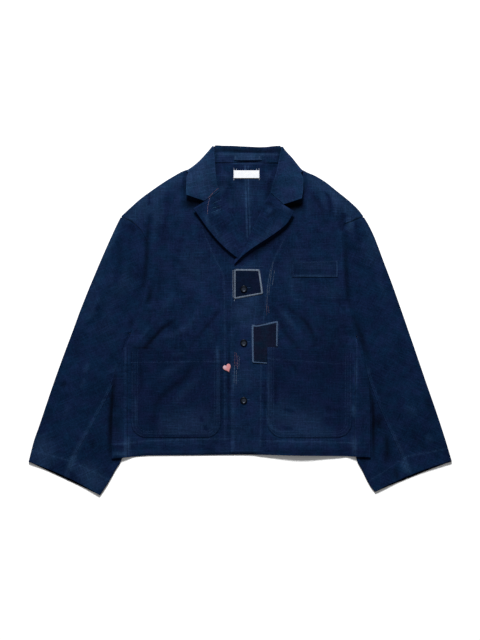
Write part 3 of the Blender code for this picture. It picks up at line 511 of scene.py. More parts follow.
# Broad swells beneath them
SWELLS = folds(
    (60, 1.4, 0, -120, 100, -142, 180), (44, 1.1, 0, -100, -90, -160, -165),
    (40, 1, 0, -236, -120, -240, -250), (52, 1.3, 0, 150, 190, 172, 240),
    (40, 0.9, 0, 232, -130, 228, -250), (48, 1, 0, 120, -130, 190, -215),
    (54, 1.6, 0, -300, 110, -332, -40), (56, 1.5, 0, -360, -90, -425, -270),
    (50, 1.5, 0, 305, 120, 332, -30), (56, 1.5, 0, 368, -80, 428, -265), (40, 1, 0, -72, -220, -140, -258),
    (36, 1, 0, 150, -60, 208, -30))

# The layer that lies underneath: shallow creases pressed in, and the same on the hidden side; their tone is
# painted highlight on ridges and painted shade in troughs
UNDER_FOLDS = folds(
    (12, 0.5, 0.1, -180, -20, -145, -60, -110, -120), (10, 0.4, 0.08, -60, 60, -44, 0, -20, -70),
    (13, 0.5, 0.1, 90, 20, 130, -30, 160, -90), (11, 0.4, 0.08, 200, 120, 170, 210),
    (12, -0.4, -0.12, -210, 130, -180, 230), (10, 0.4, 0.08, 40, -140, 110, -230),
    (12, -0.4, -0.14, -140, -170, -70, -260), (11, 0.4, 0.08, 230, -90, 210, -220),
    (12, -0.4, -0.12, 120, 60, 70, -60), (10, -0.4, -0.12, -100, -60, -160, 10))

# What shows of the back inside the neck: soft folds, with painted shade in their troughs and along the
# collar's inner edge, and paler ridges and patches
NECK_FOLDS = folds(
    (60, 0, 0.18, 16, 340, 16, 262), (18, 0, 0.3, -74, 282, -50, 300, -28, 322),
    (20, -0.3, -0.1, -22, 322, -36, 300, -48, 290), (9, -0.3, -0.35, 70, 336, 67, 310, 66, 282),
    (14, -0.3, -0.35, -56, 370, -54, 352, -46, 346), (12, -0.3, -0.3, 76, 366, 72, 350),
    (8, -0.2, -0.2, -34, 240, -20, 198, 2, 168), (12, 0.3, 0.16, -44, 344, -24, 332),
    (12, 0.3, 0.2, 58, 346, 72, 330), (9, -0.2, -0.2, 48, 262, 36, 236), (9, 0.3, 0.14, -22, 284, -24, 262),
    (6, 0, -0.25, -14, 328, 12, 327), (10, 0, -0.12, 36, 300, 34, 262))

# Crumples of the lapels, with painted shade in their troughs and painted highlight on their ridges, which run
# as pale bands along the lower rims
LAPEL_FOLDS = folds(
    (8, -0.7, -0.4, 50, 277, 70, 270, 84, 262), (8, -0.7, -0.45, 84, 260, 78, 247, 60, 243),
    (9, 0.6, 0.14, 60, 258, 76, 256), (7, -0.5, -0.4, -68, 276, -54, 272),
    (7, -0.5, -0.45, -66, 262, -42, 266), (7, 0.4, 0.22, -62, 247, -46, 258),
    (7, -0.5, -0.3, -60, 288, -44, 282), (9, 0.4, 0.25, -80, 250, -74, 220),
    (20, 0.4, 0.16, 20, 168, 60, 196, 104, 236), (16, 0.4, 0.14, -14, 160, -50, 196, -84, 234),
    (12, -0.4, -0.14, -40, 236, -30, 214), (10, 0.3, 0.2, 96, 268, 118, 252))

# The chest pocket: dark along its mouth, pale along its lower edge
WELT_FOLDS = tints(
    (18, 0.16, 116, 127, 232, 128), (7, 0.08, 120, 110.5, 232, 110.5), (5, 0.46, 118, 104.6, 230, 104.4),
    (4, 0.3, 226, 146, 226, 100))

# The collar leaf's dye: paler on the left
LEAF_FADING = tints(
    (70, 0.3, -96, 396, -92, 350, -98, 286), (30, 0.12, 96, 396, 108, 350),
    (14, 0.14, -118, 352, -120, 296), (14, -0.1, 100, 350, 102, 310))

# The band inside the neck: painted shade on its rolled top, at its ends and in the slot under the loop, and
# pale lines along its stitching and neck seam
STAND_FOLDS = tints(
    (14, -0.3, -74, 404, -20, 403, 16, 401, 56, 400, 106, 402),
    (6, -0.62, -68, 396, -40, 397.5, -12, 396.5, 20, 394.5, 50, 393.5, 78, 396.5, 100, 398.5),
    (6, 0.66, -66, 388.5, 16, 389, 100, 388), (6, -0.95, -16, 372, 20, 371.5, 54, 372),
    (4, 0.34, -22, 369.4, 18, 369.2, 60, 369.4), (4, 0.3, -22, 365.4, 60, 365.6),
    (4, -0.75, -22, 362.4, 60, 362.6), (10, -0.4, -59, 404, -57, 368), (10, -0.4, 93, 404, 90, 368),
    (8, -0.3, -50, 370, -16, 369), (8, -0.3, 50, 369, 88, 368), (5, 0.18, -20, 365, 60, 365))

# The hanging loop, rubbed pale
LOOP_FADING = tints((16, 0.45, -20, 380, 56, 380))

# Painted shadow on the fronts beneath the lapels' lower edges, in the notches and beside the collar leaf's
# sides
LAPEL_SHADOWS = tints(
    (12, -0.3, -112, 260, -92, 226, -56, 181, -20, 142, -2, 126),
    (13, -0.72, -12, 124, 30, 156, 64, 180, 100, 208, 136, 248),
    (24, -0.95, -140, 281, -112, 273, -80, 276), (24, -1.2, 94, 266, 128, 268, 154, 272),
    (10, -0.45, -129, 358, -129, 320, -131, 284), (11, -0.4, 150, 350, 150, 310, 147, 270))


def laid(creases: Iterable[Fold], x: Array, y: Array) -> Array:
    """Summed height of folds at each point."""
    total = np.zeros(np.shape(x))
    for one in creases:
        if one.height:
            total += one.height * one.share(x, y)
    return total


class Heights:
    """Heights of the layers as they lie, all to the middle of the cloth."""

    def __init__(self) -> None:
        """Read the curves that the layers lie along."""
        self.inner = {s: c.rail("sleeve_in") for s, c in CUTS.items()}
        self.folds = {s: c.rail("fold") for s, c in CUTS.items()}
        self.tops = Rail([(s.value * out, y) for s, c in CUTS.items() for y, out in c.shoulder])

    @staticmethod
    def by_side(x: Array, of: Callable[[Side], Array]) -> Array:
        """Value for each point from the function of its side."""
        return np.where(x < 0, of(Side.LEFT), of(Side.RIGHT))

    def lift(self, x: Array, y: Array) -> Array:
        """Underside of the back: on the sleeve at the sides, on the collar leaf at the neck."""
        def sleeve(side: Side) -> Array:
            """Share of the sleeve's lift on one side."""
            near = self.inner[side](y) - 40 + 15 * below(y, -280, 30)
            return below(y, CUTS[side].pit + 4, 26) * above(np.abs(x), near, 35)
        leaf = above(y, 306, 26) * below(np.abs(x - 11), 206, 68)
        return SLEEVE_LIFT * self.by_side(x, sleeve) + NECK_LIFT * leaf

    def fullness(self, x: Array, y: Array) -> Array:
        """How far the upper layer stands off the lower one."""
        x, y = np.asarray(x, float), np.asarray(y, float)
        swell = (0.5 * np.sin(0.043 * x + 0.021 * y + 1.1) + 0.3 * np.sin(0.057 * y - 0.026 * x + 2.3)
                 + 0.2 * np.sin(0.081 * x + 0.067 * y + 0.5))
        full = BASE_FULL + 0.45 * swell + laid(SWELLS, x, y) + laid(CREASES, x, y)
        ends = below(y, self.tops(x), 34) * above(y, -322, 40)
        middle, spread, height = HEM_WAVE
        wave = height * np.exp(-((x - middle) / spread) ** 2) * below(y, -236, 80)
        return np.maximum(full * np.where(np.abs(x) > 300, 1.0, ends), -0.35) + wave

    def back(self, x: Array, y: Array) -> Array:
        """Middle of the back cloth."""
        flat = 1 - above(np.abs(x), 225, 30)
        return self.lift(x, y) + HALF + laid((*UNDER_FOLDS, *NECK_FOLDS), x, y) * flat

    def front(self, x: Array, y: Array) -> Array:
        """Middle of the front cloth, pressed flat along the side fold."""
        def pressed(side: Side) -> Array:
            """Where one side lies flat on its fold."""
            off = self.folds[side](y) - np.abs(x)
            return below(y, CUTS[side].pit + 14, 20) * (1 - above(off, 4, 28))
        full = self.fullness(x, y) * (1 - self.by_side(x, pressed))
        return self.lift(x, y) + LAYER + HALF + full - LAYER * self.settled(x, y, 6.5, 5.5)

    @staticmethod
    def settled(x: Array, y: Array, high: float, reach: float) -> Array:
        """Where the lower edge lies right on the table: 1 at the hem, 0 from a height above it.

        Args:
            x: Places across, in millimetres.
            y: Places along.
            high: Way above the hem line from which the cloth is no longer down.
            reach: Way over which it comes down.
        """
        middle, spread, _ = HEM_WAVE
        free = below(np.abs(x - middle - 6), 1.74 * spread, 0.62 * spread)
        sides = above(np.abs(x), 242, 24)
        return (1 - free) * (1 - sides) * below(y, HEM(x) + high, reach)

    def shortened(self, x: Array, y: Array) -> Array:
        """How much a lower layer is drawn up where the hem is down on the table."""
        return HEM_SHORT * self.settled(x, y, HEM_SHORT_REACH, HEM_SHORT_REACH)

    def right_front(self, x: Array, y: Array) -> Array:
        """The right front also lies over the left front's edge."""
        lap = below(x, LAP_START, LAP_START - LAP_FULL)
        return self.front(x, y) + LAYER * lap * (1 - self.settled(x, y, 7.5, 6.5))

    def under(self, side: Side, x: Array, y: Array) -> Array:
        """Front cloth of one side."""
        return self.right_front(x, y) if side is Side.RIGHT else self.front(x, y)

    def turned(self, side: Side, x: Array, y: Array, reach: Array) -> Array:
        """Lapel or collar leaf on the front, reach being the way from its roll."""
        calm = np.maximum(self.under(side, x, y) - laid(CREASES, x, y), self.lift(x, y) + LAYER + HALF)
        return calm + CLOTH + 0.7 + TURN_RISE[side is Side.RIGHT] * smooth(reach / TURN_REACH)

    def sleeve(self, side: Side, x: Array, y: Array) -> Array:
        """Upper sleeve layer, pressed flat where the body lies on it."""
        calm = np.where(y > CUTS[side].pit, 1.0, smooth((np.abs(x) - self.folds[side](y) + 6) / 30))
        return LAYER + HALF + self.fullness(x, y) * calm


HEIGHTS = Heights()


# ---------------------------------------------------------------- sewing lines
class Thread(Enum):
    """Colours of thread."""

    TOP = "thread_top"
    PALE = "thread_pale"
    BLUE = "thread_blue"
    RUST = "thread_rust"
    PINK = "thread_pink"
    TEAL = "thread_teal"
    DARK = "thread_dark"
    WHITE = "thread_white"


@dataclass(frozen=True)
class Seam:
    """A line of sewing with the relief and the wear that it leaves in the cloth.

    Rows are the sideways distances of its stitch rows, to the left of its direction when positive.
    """

    name: str
    points: Line
    rows: tuple[float, ...] = (0.0,)
    band: float = 4.0
    wear: float = 0.5
    rise: float = 0.0
    rise_to: float = 9.0
    pucker: float = 0.22
    soft: bool = True

    GROOVE = (0.16, 1.6)          # depth and half width of the groove along each stitch row
    PUCKER_REACH = 6.0

    @property
    def seed(self) -> int:
        """Number that tells this seam's unevenness from the others'."""
        return sum(map(ord, self.name)) % 17

    def path(self) -> Array:
        """Fine path of the seam."""
        return polyline(self.points, 3.0, self.soft)

    def near(self, x: Array, y: Array) -> tuple[Array, Array, Array]:
        """Signed distance from the line, way along it and plain distance, for each point."""
        return along_path(self.path(), x, y)

    def relief(self, x: Array, y: Array) -> Array:
        """Height that the seam adds to the cloth."""
        signed, along, gap = self.near(x, y)
        wave = ripple(along, self.seed)
        total = self.pucker * wave * np.exp(-(gap / self.PUCKER_REACH) ** 2)
        depth, width = self.GROOVE
        for row in self.rows:
            total -= depth * np.exp(-((signed - row) / width) ** 2)
        if self.rise:
            inside = above(signed, -0.8, 1.6) * below(signed, self.rise_to, 2.5)
            total += self.rise * inside
        return total

    def tone(self, x: Array, y: Array) -> Array:
        """Pale wear that the seam leaves on the cloth."""
        signed, along, _ = self.near(x, y)
        wave = ripple(along, self.seed + 3, 17.0)
        middle = sum(self.rows) / max(len(self.rows), 1)
        spread = self.band + (max(self.rows) - min(self.rows)) / 2 if self.rows else self.band
        return WEAR * self.wear * np.exp(-((signed - middle) / spread) ** 2) * (0.8 + 0.5 * wave)


def fine_rail(side: Side, name: str, high: float, low: float, count: int = 14) -> tuple:
    """(x, y) points down one of the side's curves."""
    rail = CUTS[side].rail(name)
    return tuple((CUTS[side].sign * float(rail(y)), float(y)) for y in np.linspace(high, low, count))


L, R = Side.LEFT, Side.RIGHT
HEMMED = {"band": 2.2, "pucker": 0.3}
FELLED = {"band": 3.4, "pucker": 0.3}
LAPPED = {"rows": (), "wear": 0.4, "band": 2.6}
SET_IN = {"rows": (), "wear": 0.0, "rise": 0.5, "rise_to": 10.0}
SEAMS = {
    "front_left": (
        Seam("facing_left", ((-89, 217), (-66, 161), (-38, 93), (-36, 20), (-36, -278)), wear=0.36, band=2.0),
        Seam("hem_left", ((-262, -285), (-216, -280), (-35, -275), (20, -275)), **HEMMED),
        Seam("armhole_left", fine_rail(L, "armhole", 240, -28), **SET_IN)),
    "front_right": (
        Seam("facing_right", ((102, 189), (81, 147), (65, 95), (57, 25), (48, -108), (47, -292)),
             wear=0.42, band=2.0),
        Seam("hem_right", ((47, -280), (120, -281), (260, -284)), **HEMMED),
        Seam("armhole_right", fine_rail(R, "armhole", -35, 240), **SET_IN),
        Seam("pocket_bag", ((120, 100), (120, 66), (122, 56), (130, 50), (150, 48)), wear=0.16, band=2.5,
             pucker=0.3)),
    "back_left": (
        Seam("centre_back_left", ((12.4, 361), (11.8, 330), (13.6, 290), (15.6, 240), (17.2, 190)), wear=1.5,
             band=1.3),
        Seam("side_left", ((-267, -62), (-268, -120), (-268, -318)), wear=0.42, band=3.6),
        Seam("strip_hem_left", ((-264, -285), (-298, -287)), wear=0.4, band=2.4)),
    "back_right": (
        Seam("centre_back_right", ((18.6, 361), (18.4, 330), (19.8, 290), (21.6, 240), (23.2, 190)), wear=1.3,
             band=1.3),
        Seam("side_right", ((271, -44), (271.5, -110), (268.5, -160), (267, -318)), wear=0.46, band=3.2),
        Seam("strip_hem_right", ((266, -284), (303, -284)), wear=0.4, band=2.4)),
    "sleeve_top_left": (
        Seam("elbow_left", fine_rail(L, "sleeve_seam", -100, -398), rows=(-2.0, -6.5), wear=0.52, **FELLED),
        Seam("cuff_left", ((-483, -302), (-440, -314), (-397, -326), (-380, -333)), wear=0.45, **HEMMED)),
    "sleeve_under_left": (
        Seam("cuff_under_left", ((-378, -334), (-345, -351), (-306, -371)), wear=0.42, **HEMMED),
        Seam("lap_left", fine_rail(L, "sleeve_seam", -110, -398), **LAPPED)),
    "sleeve_top_right": (
        Seam("elbow_right", fine_rail(R, "sleeve_seam", -112, -388), rows=(2.0, 6.5), **FELLED),
        Seam("cuff_right", ((484, -297), (440, -306), (390, -316), (372, -325)), wear=0.45, **HEMMED)),
    "sleeve_under_right": (
        Seam("cuff_under_right", ((370, -327), (340, -348), (303, -371)), wear=0.42, **HEMMED),
        Seam("lap_right", fine_rail(R, "sleeve_seam", -120, -388), **LAPPED)),
}


# ---------------------------------------------------------------- cloth grids
@dataclass
class Cloth:
    """Grid of middle points of a piece, in millimetres, with the tone and grain of every point.

    Missing points are NaN. The finished object is a closed thin shell.
    """

    name: str
    grid: Array
    thickness: float = CLOTH
    tone: Array | None = None
    grain: float = 0.0
    weld: bool = False
    obj: bpy.types.Object | None = None

    def __post_init__(self) -> None:
        """Start from an even tone."""
        if self.tone is None:
            self.tone = np.zeros(self.grid.shape[:2])

    def plan(self) -> tuple[Array, Array]:
        """x and y of every point, missing ones far away."""
        return np.nan_to_num(self.grid[..., 0], nan=FAR), np.nan_to_num(self.grid[..., 1], nan=FAR)

    def ways(self, axis: int) -> Array:
        """Mean way down the rows (axis 0) or over the columns (axis 1)."""
        steps = np.linalg.norm(np.diff(self.grid, axis=axis), axis=2)
        return np.concatenate([[0], np.nancumsum(np.nanmean(steps, axis=1 - axis))])

    def area(self) -> float:
        """Area of the middle surface, in square metres."""
        g = self.grid
        d1, d2 = g[1:, 1:] - g[:-1, :-1], g[1:, :-1] - g[:-1, 1:]
        quads = np.linalg.norm(np.cross(d1, d2), axis=2) / 2
        return float(np.nansum(quads)) * MM * MM

    def build(self) -> bpy.types.Object:
        """Make the mesh, its grain map and its wall."""
        rows, columns, _ = self.grid.shape
        flat = self.grid.reshape(-1, 3)
        there = np.isfinite(flat[:, 0])
        index = np.cumsum(there) - 1
        keys = np.arange(rows * columns).reshape(rows, columns)
        quads = np.stack([keys[:-1, :-1], keys[:-1, 1:], keys[1:, 1:], keys[1:, :-1]], axis=-1).reshape(-1, 4)
        quads = index[quads[there[quads].all(axis=1)]]
        mesh = bpy.data.meshes.new(self.name)
        points = (flat[there] + SHIFT) * MM
        mesh.from_pydata(points.tolist(), [], quads.tolist())
        mesh.update()
        turn = math.radians(self.grain)
        along = np.stack([points[:, 0] * math.cos(turn) + points[:, 1] * math.sin(turn),
                          -points[:, 0] * math.sin(turn) + points[:, 1] * math.cos(turn)], axis=1)
        corners = np.empty(len(mesh.loops), np.int32)
        mesh.loops.foreach_get("vertex_index", corners)
        layer = mesh.uv_layers.new(name="grain")
        layer.data.foreach_set("uv", along[corners].astype(np.float32).ravel())
        tone = self.tone.reshape(-1)[there]
        mesh.attributes.new("tone", "FLOAT", "POINT").data.foreach_set("value", tone.astype(np.float32))
        mesh.shade_smooth()
        if self.weld:
            weld_points(mesh)
        self.obj = placed(self.name + "_cloth", mesh)
        wall = self.obj.modifiers.new("wall", "SOLIDIFY")
        wall.thickness = self.thickness * MM
        wall.offset = 0.0
        return self.obj

    def sew(self, seams: Iterable[Seam]) -> None:
        """Add the relief and tone of seams to the grid."""
        x, y = self.plan()
        for seam in seams:
            self.grid[..., 2] += seam.relief(x, y)
            self.tone += seam.tone(x, y)

    def crease(self, creases: Iterable[Fold], relief: bool = False, beyond: float = 0.0) -> None:
        """Add the tone of folds, and their height too if relief, where |x| is beyond the given value."""
        x, y = self.plan()
        for one in creases:
            share = one.share(x, y) * (np.abs(x) >= beyond)
            self.tone += one.tone * share
            if relief:
                self.grid[..., 2] += one.height * share

    def shade_relief(self, ridge: float = 0.16, fold: float = 0.3) -> None:
        """Painted highlight on ridges and painted shade in hollows and on the steep, turned edges, read off
        the grid's own form.

        Args:
            ridge: Tone for each millimetre that a point stands above its smoothed surroundings.
            fold: Darkening of the steep, turned edges.
        """
        z = np.where(np.isfinite(self.grid[..., 2]), self.grid[..., 2], np.nanmean(self.grid[..., 2]))
        calm = z.copy()
        for _ in range(6):
            wide = np.pad(calm, 1, mode="edge")
            calm = (wide[1:-1, 1:-1] * 2 + wide[:-2, 1:-1] + wide[2:, 1:-1] + wide[1:-1, :-2]
                    + wide[1:-1, 2:]) / 6
        down, over = np.gradient(self.grid, axis=0), np.gradient(self.grid, axis=1)
        normal = np.cross(down, over)
        size = np.maximum(np.linalg.norm(normal, axis=2), 1e-9)
        slope = np.nan_to_num(np.abs(normal[..., 2]) / size, nan=1.0)
        flat = above(slope, 0.6, 0.35)
        steep = 1 - above(slope, 0.25, 0.6)
        self.tone += np.clip((z - calm) * ridge, -0.35, 0.22) * flat - fold * steep

    def edge_wear(self, amount: float, reach: float, seed: int = 1) -> None:
        """Pale, worn rim all round the grid's outer edges.

        Args:
            amount: Strength of the wear.
            reach: Width of the rim.
            seed: Number that tells its unevenness from others'.
        """
        down, over = self.ways(0)[:, None], self.ways(1)[None, :]
        gap = np.minimum(np.minimum(down, down[-1] - down), np.minimum(over, over[0, -1] - over))
        wave = ripple(down + over, seed, 23.0)
        self.tone += WEAR * amount * np.exp(-(gap / reach) ** 2) * (0.8 + 0.4 * wave)


def fold_arc(edge: Array, sign: int, z_low: Array, z_high: Array, angles: Array) -> tuple[Array, Array]:
    """Sections round a side fold.

    Args:
        edge: x of the fold's outermost face, for each row.
        sign: -1 on the left side, 1 on the right.
        z_low: Height of the lower layer in each row.
        z_high: Height of the upper layer.
        angles: Angles of the section's points.

    Returns:
        x and z of every point.
    """
    radius = (z_high - z_low) / 2
    centre_x = edge - sign * (HALF + radius)
    centre_z = (z_high + z_low) / 2
    return (centre_x[:, None] + sign * radius[:, None] * np.cos(angles),
            centre_z[:, None] + radius[:, None] * np.sin(angles))


# ---------------------------------------------------------------- body
@dataclass
class Body:
    """The two backs and the two fronts."""

    side: Side
    strip_start: float = 2.0      # the back's wrap begins this far below the armpit

    def rows(self, inner: str) -> tuple[Array, Array, Array]:
        """Outer y, inner y and sag weight of every fine row."""
        table = body_rows(self.side)
        out_y = np.array([row.out_y for row in table])
        in_y = np.array([getattr(row, inner) for row in table])
        sag = np.array([row.sag for row in table])
        sag = np.where(sag == SAG, SAG * above(in_y, 60, 220), sag)
        way = np.concatenate([[0], np.cumsum((np.diff(out_y) + np.diff(in_y)) / 2)])
        at = spaced(way[-1], GRID) * way[-1]
        return Rail(zip(way, out_y))(at), Rail(zip(way, in_y))(at), np.interp(at, way, sag)

    def shoulder(self) -> Rail:
        """Shoulder line drawn in by the fold's half circle, carried on to the centre back."""
        cut = CUTS[self.side]
        path = np.array([(out, y) for y, out in cut.shoulder])
        moved = offset_path(path, -(HALF + LAYER / 2))
        rows = [(cut.sign * x, y) for x, y in moved] + [(float(CENTRE_BACK(NECK_Y)), NECK_Y)]
        return Rail(rows)

    def lines(self, out_y: Array, in_y: Array, sag: Array, outer: Rail, inner: Array, across: Array) -> Array:
        """Plan points of every row from its outer to its inner end.

        Args:
            out_y: y of each row's outer end.
            in_y: y of its inner end.
            sag: How far it follows the shoulder's bow.
            outer: Curve of the outer ends.
            inner: x of the inner ends.
            across: Shares across the row.
        """
        cut = CUTS[self.side]
        start = cut.sign * outer(out_y)
        x = mix(start[:, None], inner[:, None], across)
        y = mix(out_y[:, None], in_y[:, None], across)
        shoulder = self.shoulder()
        tip_y = mix(cut.armhole[1][0], cut.armhole[0][0], TIP_SHARE)
        tip_x = cut.sign * float(cut.rail("armhole")(tip_y))
        end_y = shoulder(inner)[:, None]
        chord = tip_y + (end_y - tip_y) * (x - tip_x) / (inner[:, None] - tip_x)
        y = y + sag[:, None] * (shoulder(x) - chord) * (across > 0) * (across < 1)
        straight = mix(out_y[0], in_y[0], across)
        y = y + below(y, HEM_TURN, HEM_BEND) * (HEM(x) - straight)
        return np.stack([x, y], axis=-1)

    def shoulder_turn(self, line: Array, upper: bool) -> Array:
        """Rows that turn towards the shoulder seam.

        Args:
            line: Plan points of the last flat row.
            upper: Whether it is the upper layer.
        """
        low, high = HEIGHTS.back(line[:, 0], line[:, 1]), HEIGHTS.front(line[:, 0], line[:, 1])
        radius, middle = (high - low) / 2, (high + low) / 2
        run = unit(np.gradient(line, axis=0))
        normal = np.stack([-run[:, 1], run[:, 0]], axis=1)
        normal *= np.where(normal[:, 1:] < 0, -1, 1)
        rows = []
        for degrees in SHOULDER_TURN:
            angle = math.radians(degrees if upper else -degrees)
            plan = line + normal * (radius * math.cos(angle))[:, None]
            rows.append(np.column_stack([plan, middle + radius * math.sin(angle)]))
        return np.array(rows)

    def front(self) -> Cloth:
        """One front, from its side seam and armhole to its free edge."""
        cut = CUTS[self.side]
        out_y, in_y, sag = self.rows("front_y")
        edge = np.array(cut.front_edge, float)
        inner = np.interp(in_y, edge[:, 0], edge[:, 1])
        shoulder = self.shoulder()
        in_y = np.where(in_y > NECK_START, mix(in_y, shoulder(inner), above(in_y, *NECK_BLEND)), in_y)
        across = spaced(HALF_WIDTH, GRID)
        plan = self.lines(out_y, in_y, sag, cut.front_outer(), inner, across)
        if self.side is Side.LEFT:
            covered = above(plan[..., 0], -20, 8)
            plan[..., 1] += covered * HEIGHTS.shortened(plan[..., 0], plan[..., 1])
        z = HEIGHTS.under(self.side, plan[..., 0], plan[..., 1])
        grid = np.dstack([plan, z])
        grid = np.concatenate([grid, self.shoulder_turn(plan[-1], True)])
        return Cloth("front_" + self.side.word, grid)

    def back(self) -> Cloth:
        """One back, with the strip that it carries round the side fold to the side seam."""
        cut = CUTS[self.side]
        sign = cut.sign
        out_y, in_y, sag = self.rows("back_y")
        fold = cut.rail("fold")
        edge_x = sign * fold(out_y)
        z_low, z_high = HEIGHTS.back(edge_x, out_y), HEIGHTS.front(edge_x, out_y)
        start = edge_x - sign * (HALF + (z_high - z_low) / 2)
        arm = sign * cut.rail("armhole")(np.maximum(out_y, cut.pit))
        outer_x = np.where(out_y < cut.pit, start, arm)
        outer = Rail(zip(out_y, np.abs(outer_x)))
        inner = CENTRE_BACK(in_y) - sign * 0.1
        across = spaced(HALF_WIDTH, HIDDEN_GRID)
        plan = self.lines(out_y, in_y, sag, outer, inner, across)
        plan[..., 1] += HEIGHTS.shortened(plan[..., 0], plan[..., 1])
        z = HEIGHTS.back(plan[..., 0], plan[..., 1])
        body = np.dstack([plan, z])[:, ::-1]
        angles = np.radians(np.linspace(-70, 70, 8))
        arc_x, arc_z = fold_arc(edge_x, sign, z_low, z_high, angles)
        seam_x = sign * (cut.rail("seam")(out_y) + SEAM)
        strip_x = mix(start[:, None], seam_x[:, None], np.linspace(0, 1, 15))
        wrap_x = np.concatenate([arc_x, strip_x], axis=1)
        wrap_y = np.broadcast_to(out_y[:, None], wrap_x.shape)
        wrap_y = wrap_y + below(wrap_y, HEM_TURN, HEM_BEND) * (HEM(wrap_x) - out_y[0])
        strip_z = HEIGHTS.front(strip_x, wrap_y[:, len(angles):])
        wrap = np.dstack([wrap_x, wrap_y, np.concatenate([arc_z, strip_z], axis=1)])
        wrap[out_y > cut.pit - self.strip_start] = np.nan
        grid = np.concatenate([body, wrap], axis=1)
        line = body[-1, :, :2]
        turned = self.shoulder_turn(line, False)
        turned[:, np.abs(line[:, 0]) < cut.shoulder[0][1] - 20] = np.nan
        missing = np.full((len(turned), wrap.shape[1], 3), np.nan)
        grid = np.concatenate([grid, np.concatenate([turned, missing], axis=1)])
        return Cloth("back_" + self.side.word, grid)


# ---------------------------------------------------------------- sleeves
@dataclass
class Sleeve:
    """Upper and under part of one sleeve, each carried round its fold to the layer beneath."""

    side: Side
    top_size: Point = (620.0, 190.0)      # along and across the upper piece
    low_size: Point = (370.0, 75.0)       # and the under piece
    bias: float = 24.0                    # turn of the grain, in degrees

    def __post_init__(self) -> None:
        """Read the side's curves."""
        cut = CUTS[self.side]
        self.cut = cut
        self.outer = cut.rail("sleeve_out")
        self.inner = cut.rail("sleeve_in")
        self.armhole = cut.rail("armhole")

    def hole(self, t: Array) -> Array:
        """Point on the armhole, just clear of the body, for a row number up to the pit."""
        heights = [y for y, _ in self.cut.armhole]
        heights[0] = mix(heights[0], heights[1], 0.12)
        y = Rail(enumerate(heights))(np.minimum(t, PIT_ROW))
        slope = (self.armhole(y + 1) - self.armhole(y - 1)) / 2
        size = np.hypot(1, slope)
        return np.stack([self.armhole(y) + SEAM / size, y - SEAM * slope / size], axis=1)

    def crossing(self, name: str, a: Array, b: Array) -> Array:
        """Where straight lines cross one of the side's curves.

        Args:
            name: Name of the curve's table.
            a: Starts of the lines, on the body's side of the curve.
            b: Their ends.
        """
        rail = self.cut.rail(name)
        low, high = np.zeros(len(a)), np.ones(len(a))
        for _ in range(30):
            t = (low + high) / 2
            p = a + (b - a) * t[:, None]
            over = p[:, 0] > rail(p[:, 1])
            high, low = np.where(over, t, high), np.where(over, low, t)
        return a + (b - a) * low[:, None]

    def normal(self, rail: Rail, y: Array, sense: int) -> Array:
        """Direction in plan from an edge into the sleeve."""
        run = unit(np.stack([rail(y - 4) - rail(y + 4), np.full(len(y), -8.0)], axis=1))
        return np.stack([-run[:, 1], run[:, 0]], axis=1) * sense

    def world(self, plan: Array) -> Array:
        """Points on this side from (out, y) points."""
        return plan * np.array((self.cut.sign, 1.0))

    def ring(self, edge: Array, inward: Array, over: Array, under: Array, bow: Array,
             top: Array, low: Array) -> Array:
        """Sections from the upper layer round a fold to the lower one.

        Args:
            edge: Points on the fold.
            inward: Directions from them into the sleeve.
            over: Where the sections start on the upper layer.
            under: Where they end on the lower one.
            bow: How far the cuff's edge is hollow.
            top: Shares across the upper layer.
            low: Shares across the lower layer.
        """
        at_edge = self.world(edge)
        z_high = HEIGHTS.sleeve(self.side, at_edge[:, 0], at_edge[:, 1])
        radius = (z_high - HALF) / 2
        start = edge + inward * (HALF + radius)[:, None]
        upper = over[:, None] + (start - over)[:, None] * top[None, :-1, None]
        upper[..., 1] += bow[:, None] * (1 - top[None, :-1] ** 2)
        upper = self.world(upper)
        upper = np.dstack([upper, HEIGHTS.sleeve(self.side, upper[..., 0], upper[..., 1])])
        arcs = []
        for angle in np.radians(np.linspace(90, -90, 9)):
            p = self.world(start - inward * (radius * math.cos(angle))[:, None])
            arcs.append(np.column_stack([p, HALF + radius + radius * math.sin(angle)]))
        lower = start[:, None] + (under - start)[:, None] * low[None, 1:, None]
        first, last = self.cut.sleeve_in[-1][1], self.cut.sleeve_out[-1][1]
        arch = np.sin(math.pi * np.clip((lower[..., 0] - first) / (last - first), 0, 1))
        if self.side is Side.RIGHT:
            lower[..., 1] += CUFF_ARCH * bow[:, None] * arch
        lower = self.world(lower)
        lower = np.dstack([lower, np.full(lower.shape[:2], HALF)])
        return np.concatenate([upper, np.stack(arcs, axis=1), lower], axis=1)

    def inner_line(self, t: Array) -> Array:
        """Point on the sleeve's inner fold for each row."""
        rows = Rail(enumerate(row[0] for row in SLEEVE_ROWS))(t)
        shift = self.cut.armhole[-1][0] - CUTS[Side.LEFT].armhole[-1][0]
        y = np.maximum(rows + shift * above(rows, -260, 200), self.cut.sleeve_in[-1][0])
        return np.stack([self.inner(y), y], axis=1)

    def outer_line(self, t: Array) -> tuple[Array, Array]:
        """Point on the outer fold for each row, and the direction into the sleeve there."""
        y = Rail(enumerate(row[1] for row in SLEEVE_ROWS))(t)
        y = np.maximum(y, self.cut.sleeve_out[-1][0])
        edge = np.stack([self.outer(y), y], axis=1)
        return edge, self.normal(self.outer, np.maximum(y, self.cut.sleeve_out[-1][0] + 8), -1)

    @staticmethod
    def bow(t: Array) -> Array:
        """How far the upper layer's cuff edge is hollow."""
        return CUFF_BOW * smooth((t - len(SLEEVE_ROWS) + 3) / 2)

    @staticmethod
    def inside(t: Array, grid: Array, first: int) -> Array:
        """Tone of a sleeve piece: painted shade where the lower layer shows inside the cuff."""
        tone = np.zeros(grid.shape[:2])
        tone[:, first:] -= 0.95 * above(t, len(SLEEVE_ROWS) - 1.5, 0.3)[:, None]
        return tone

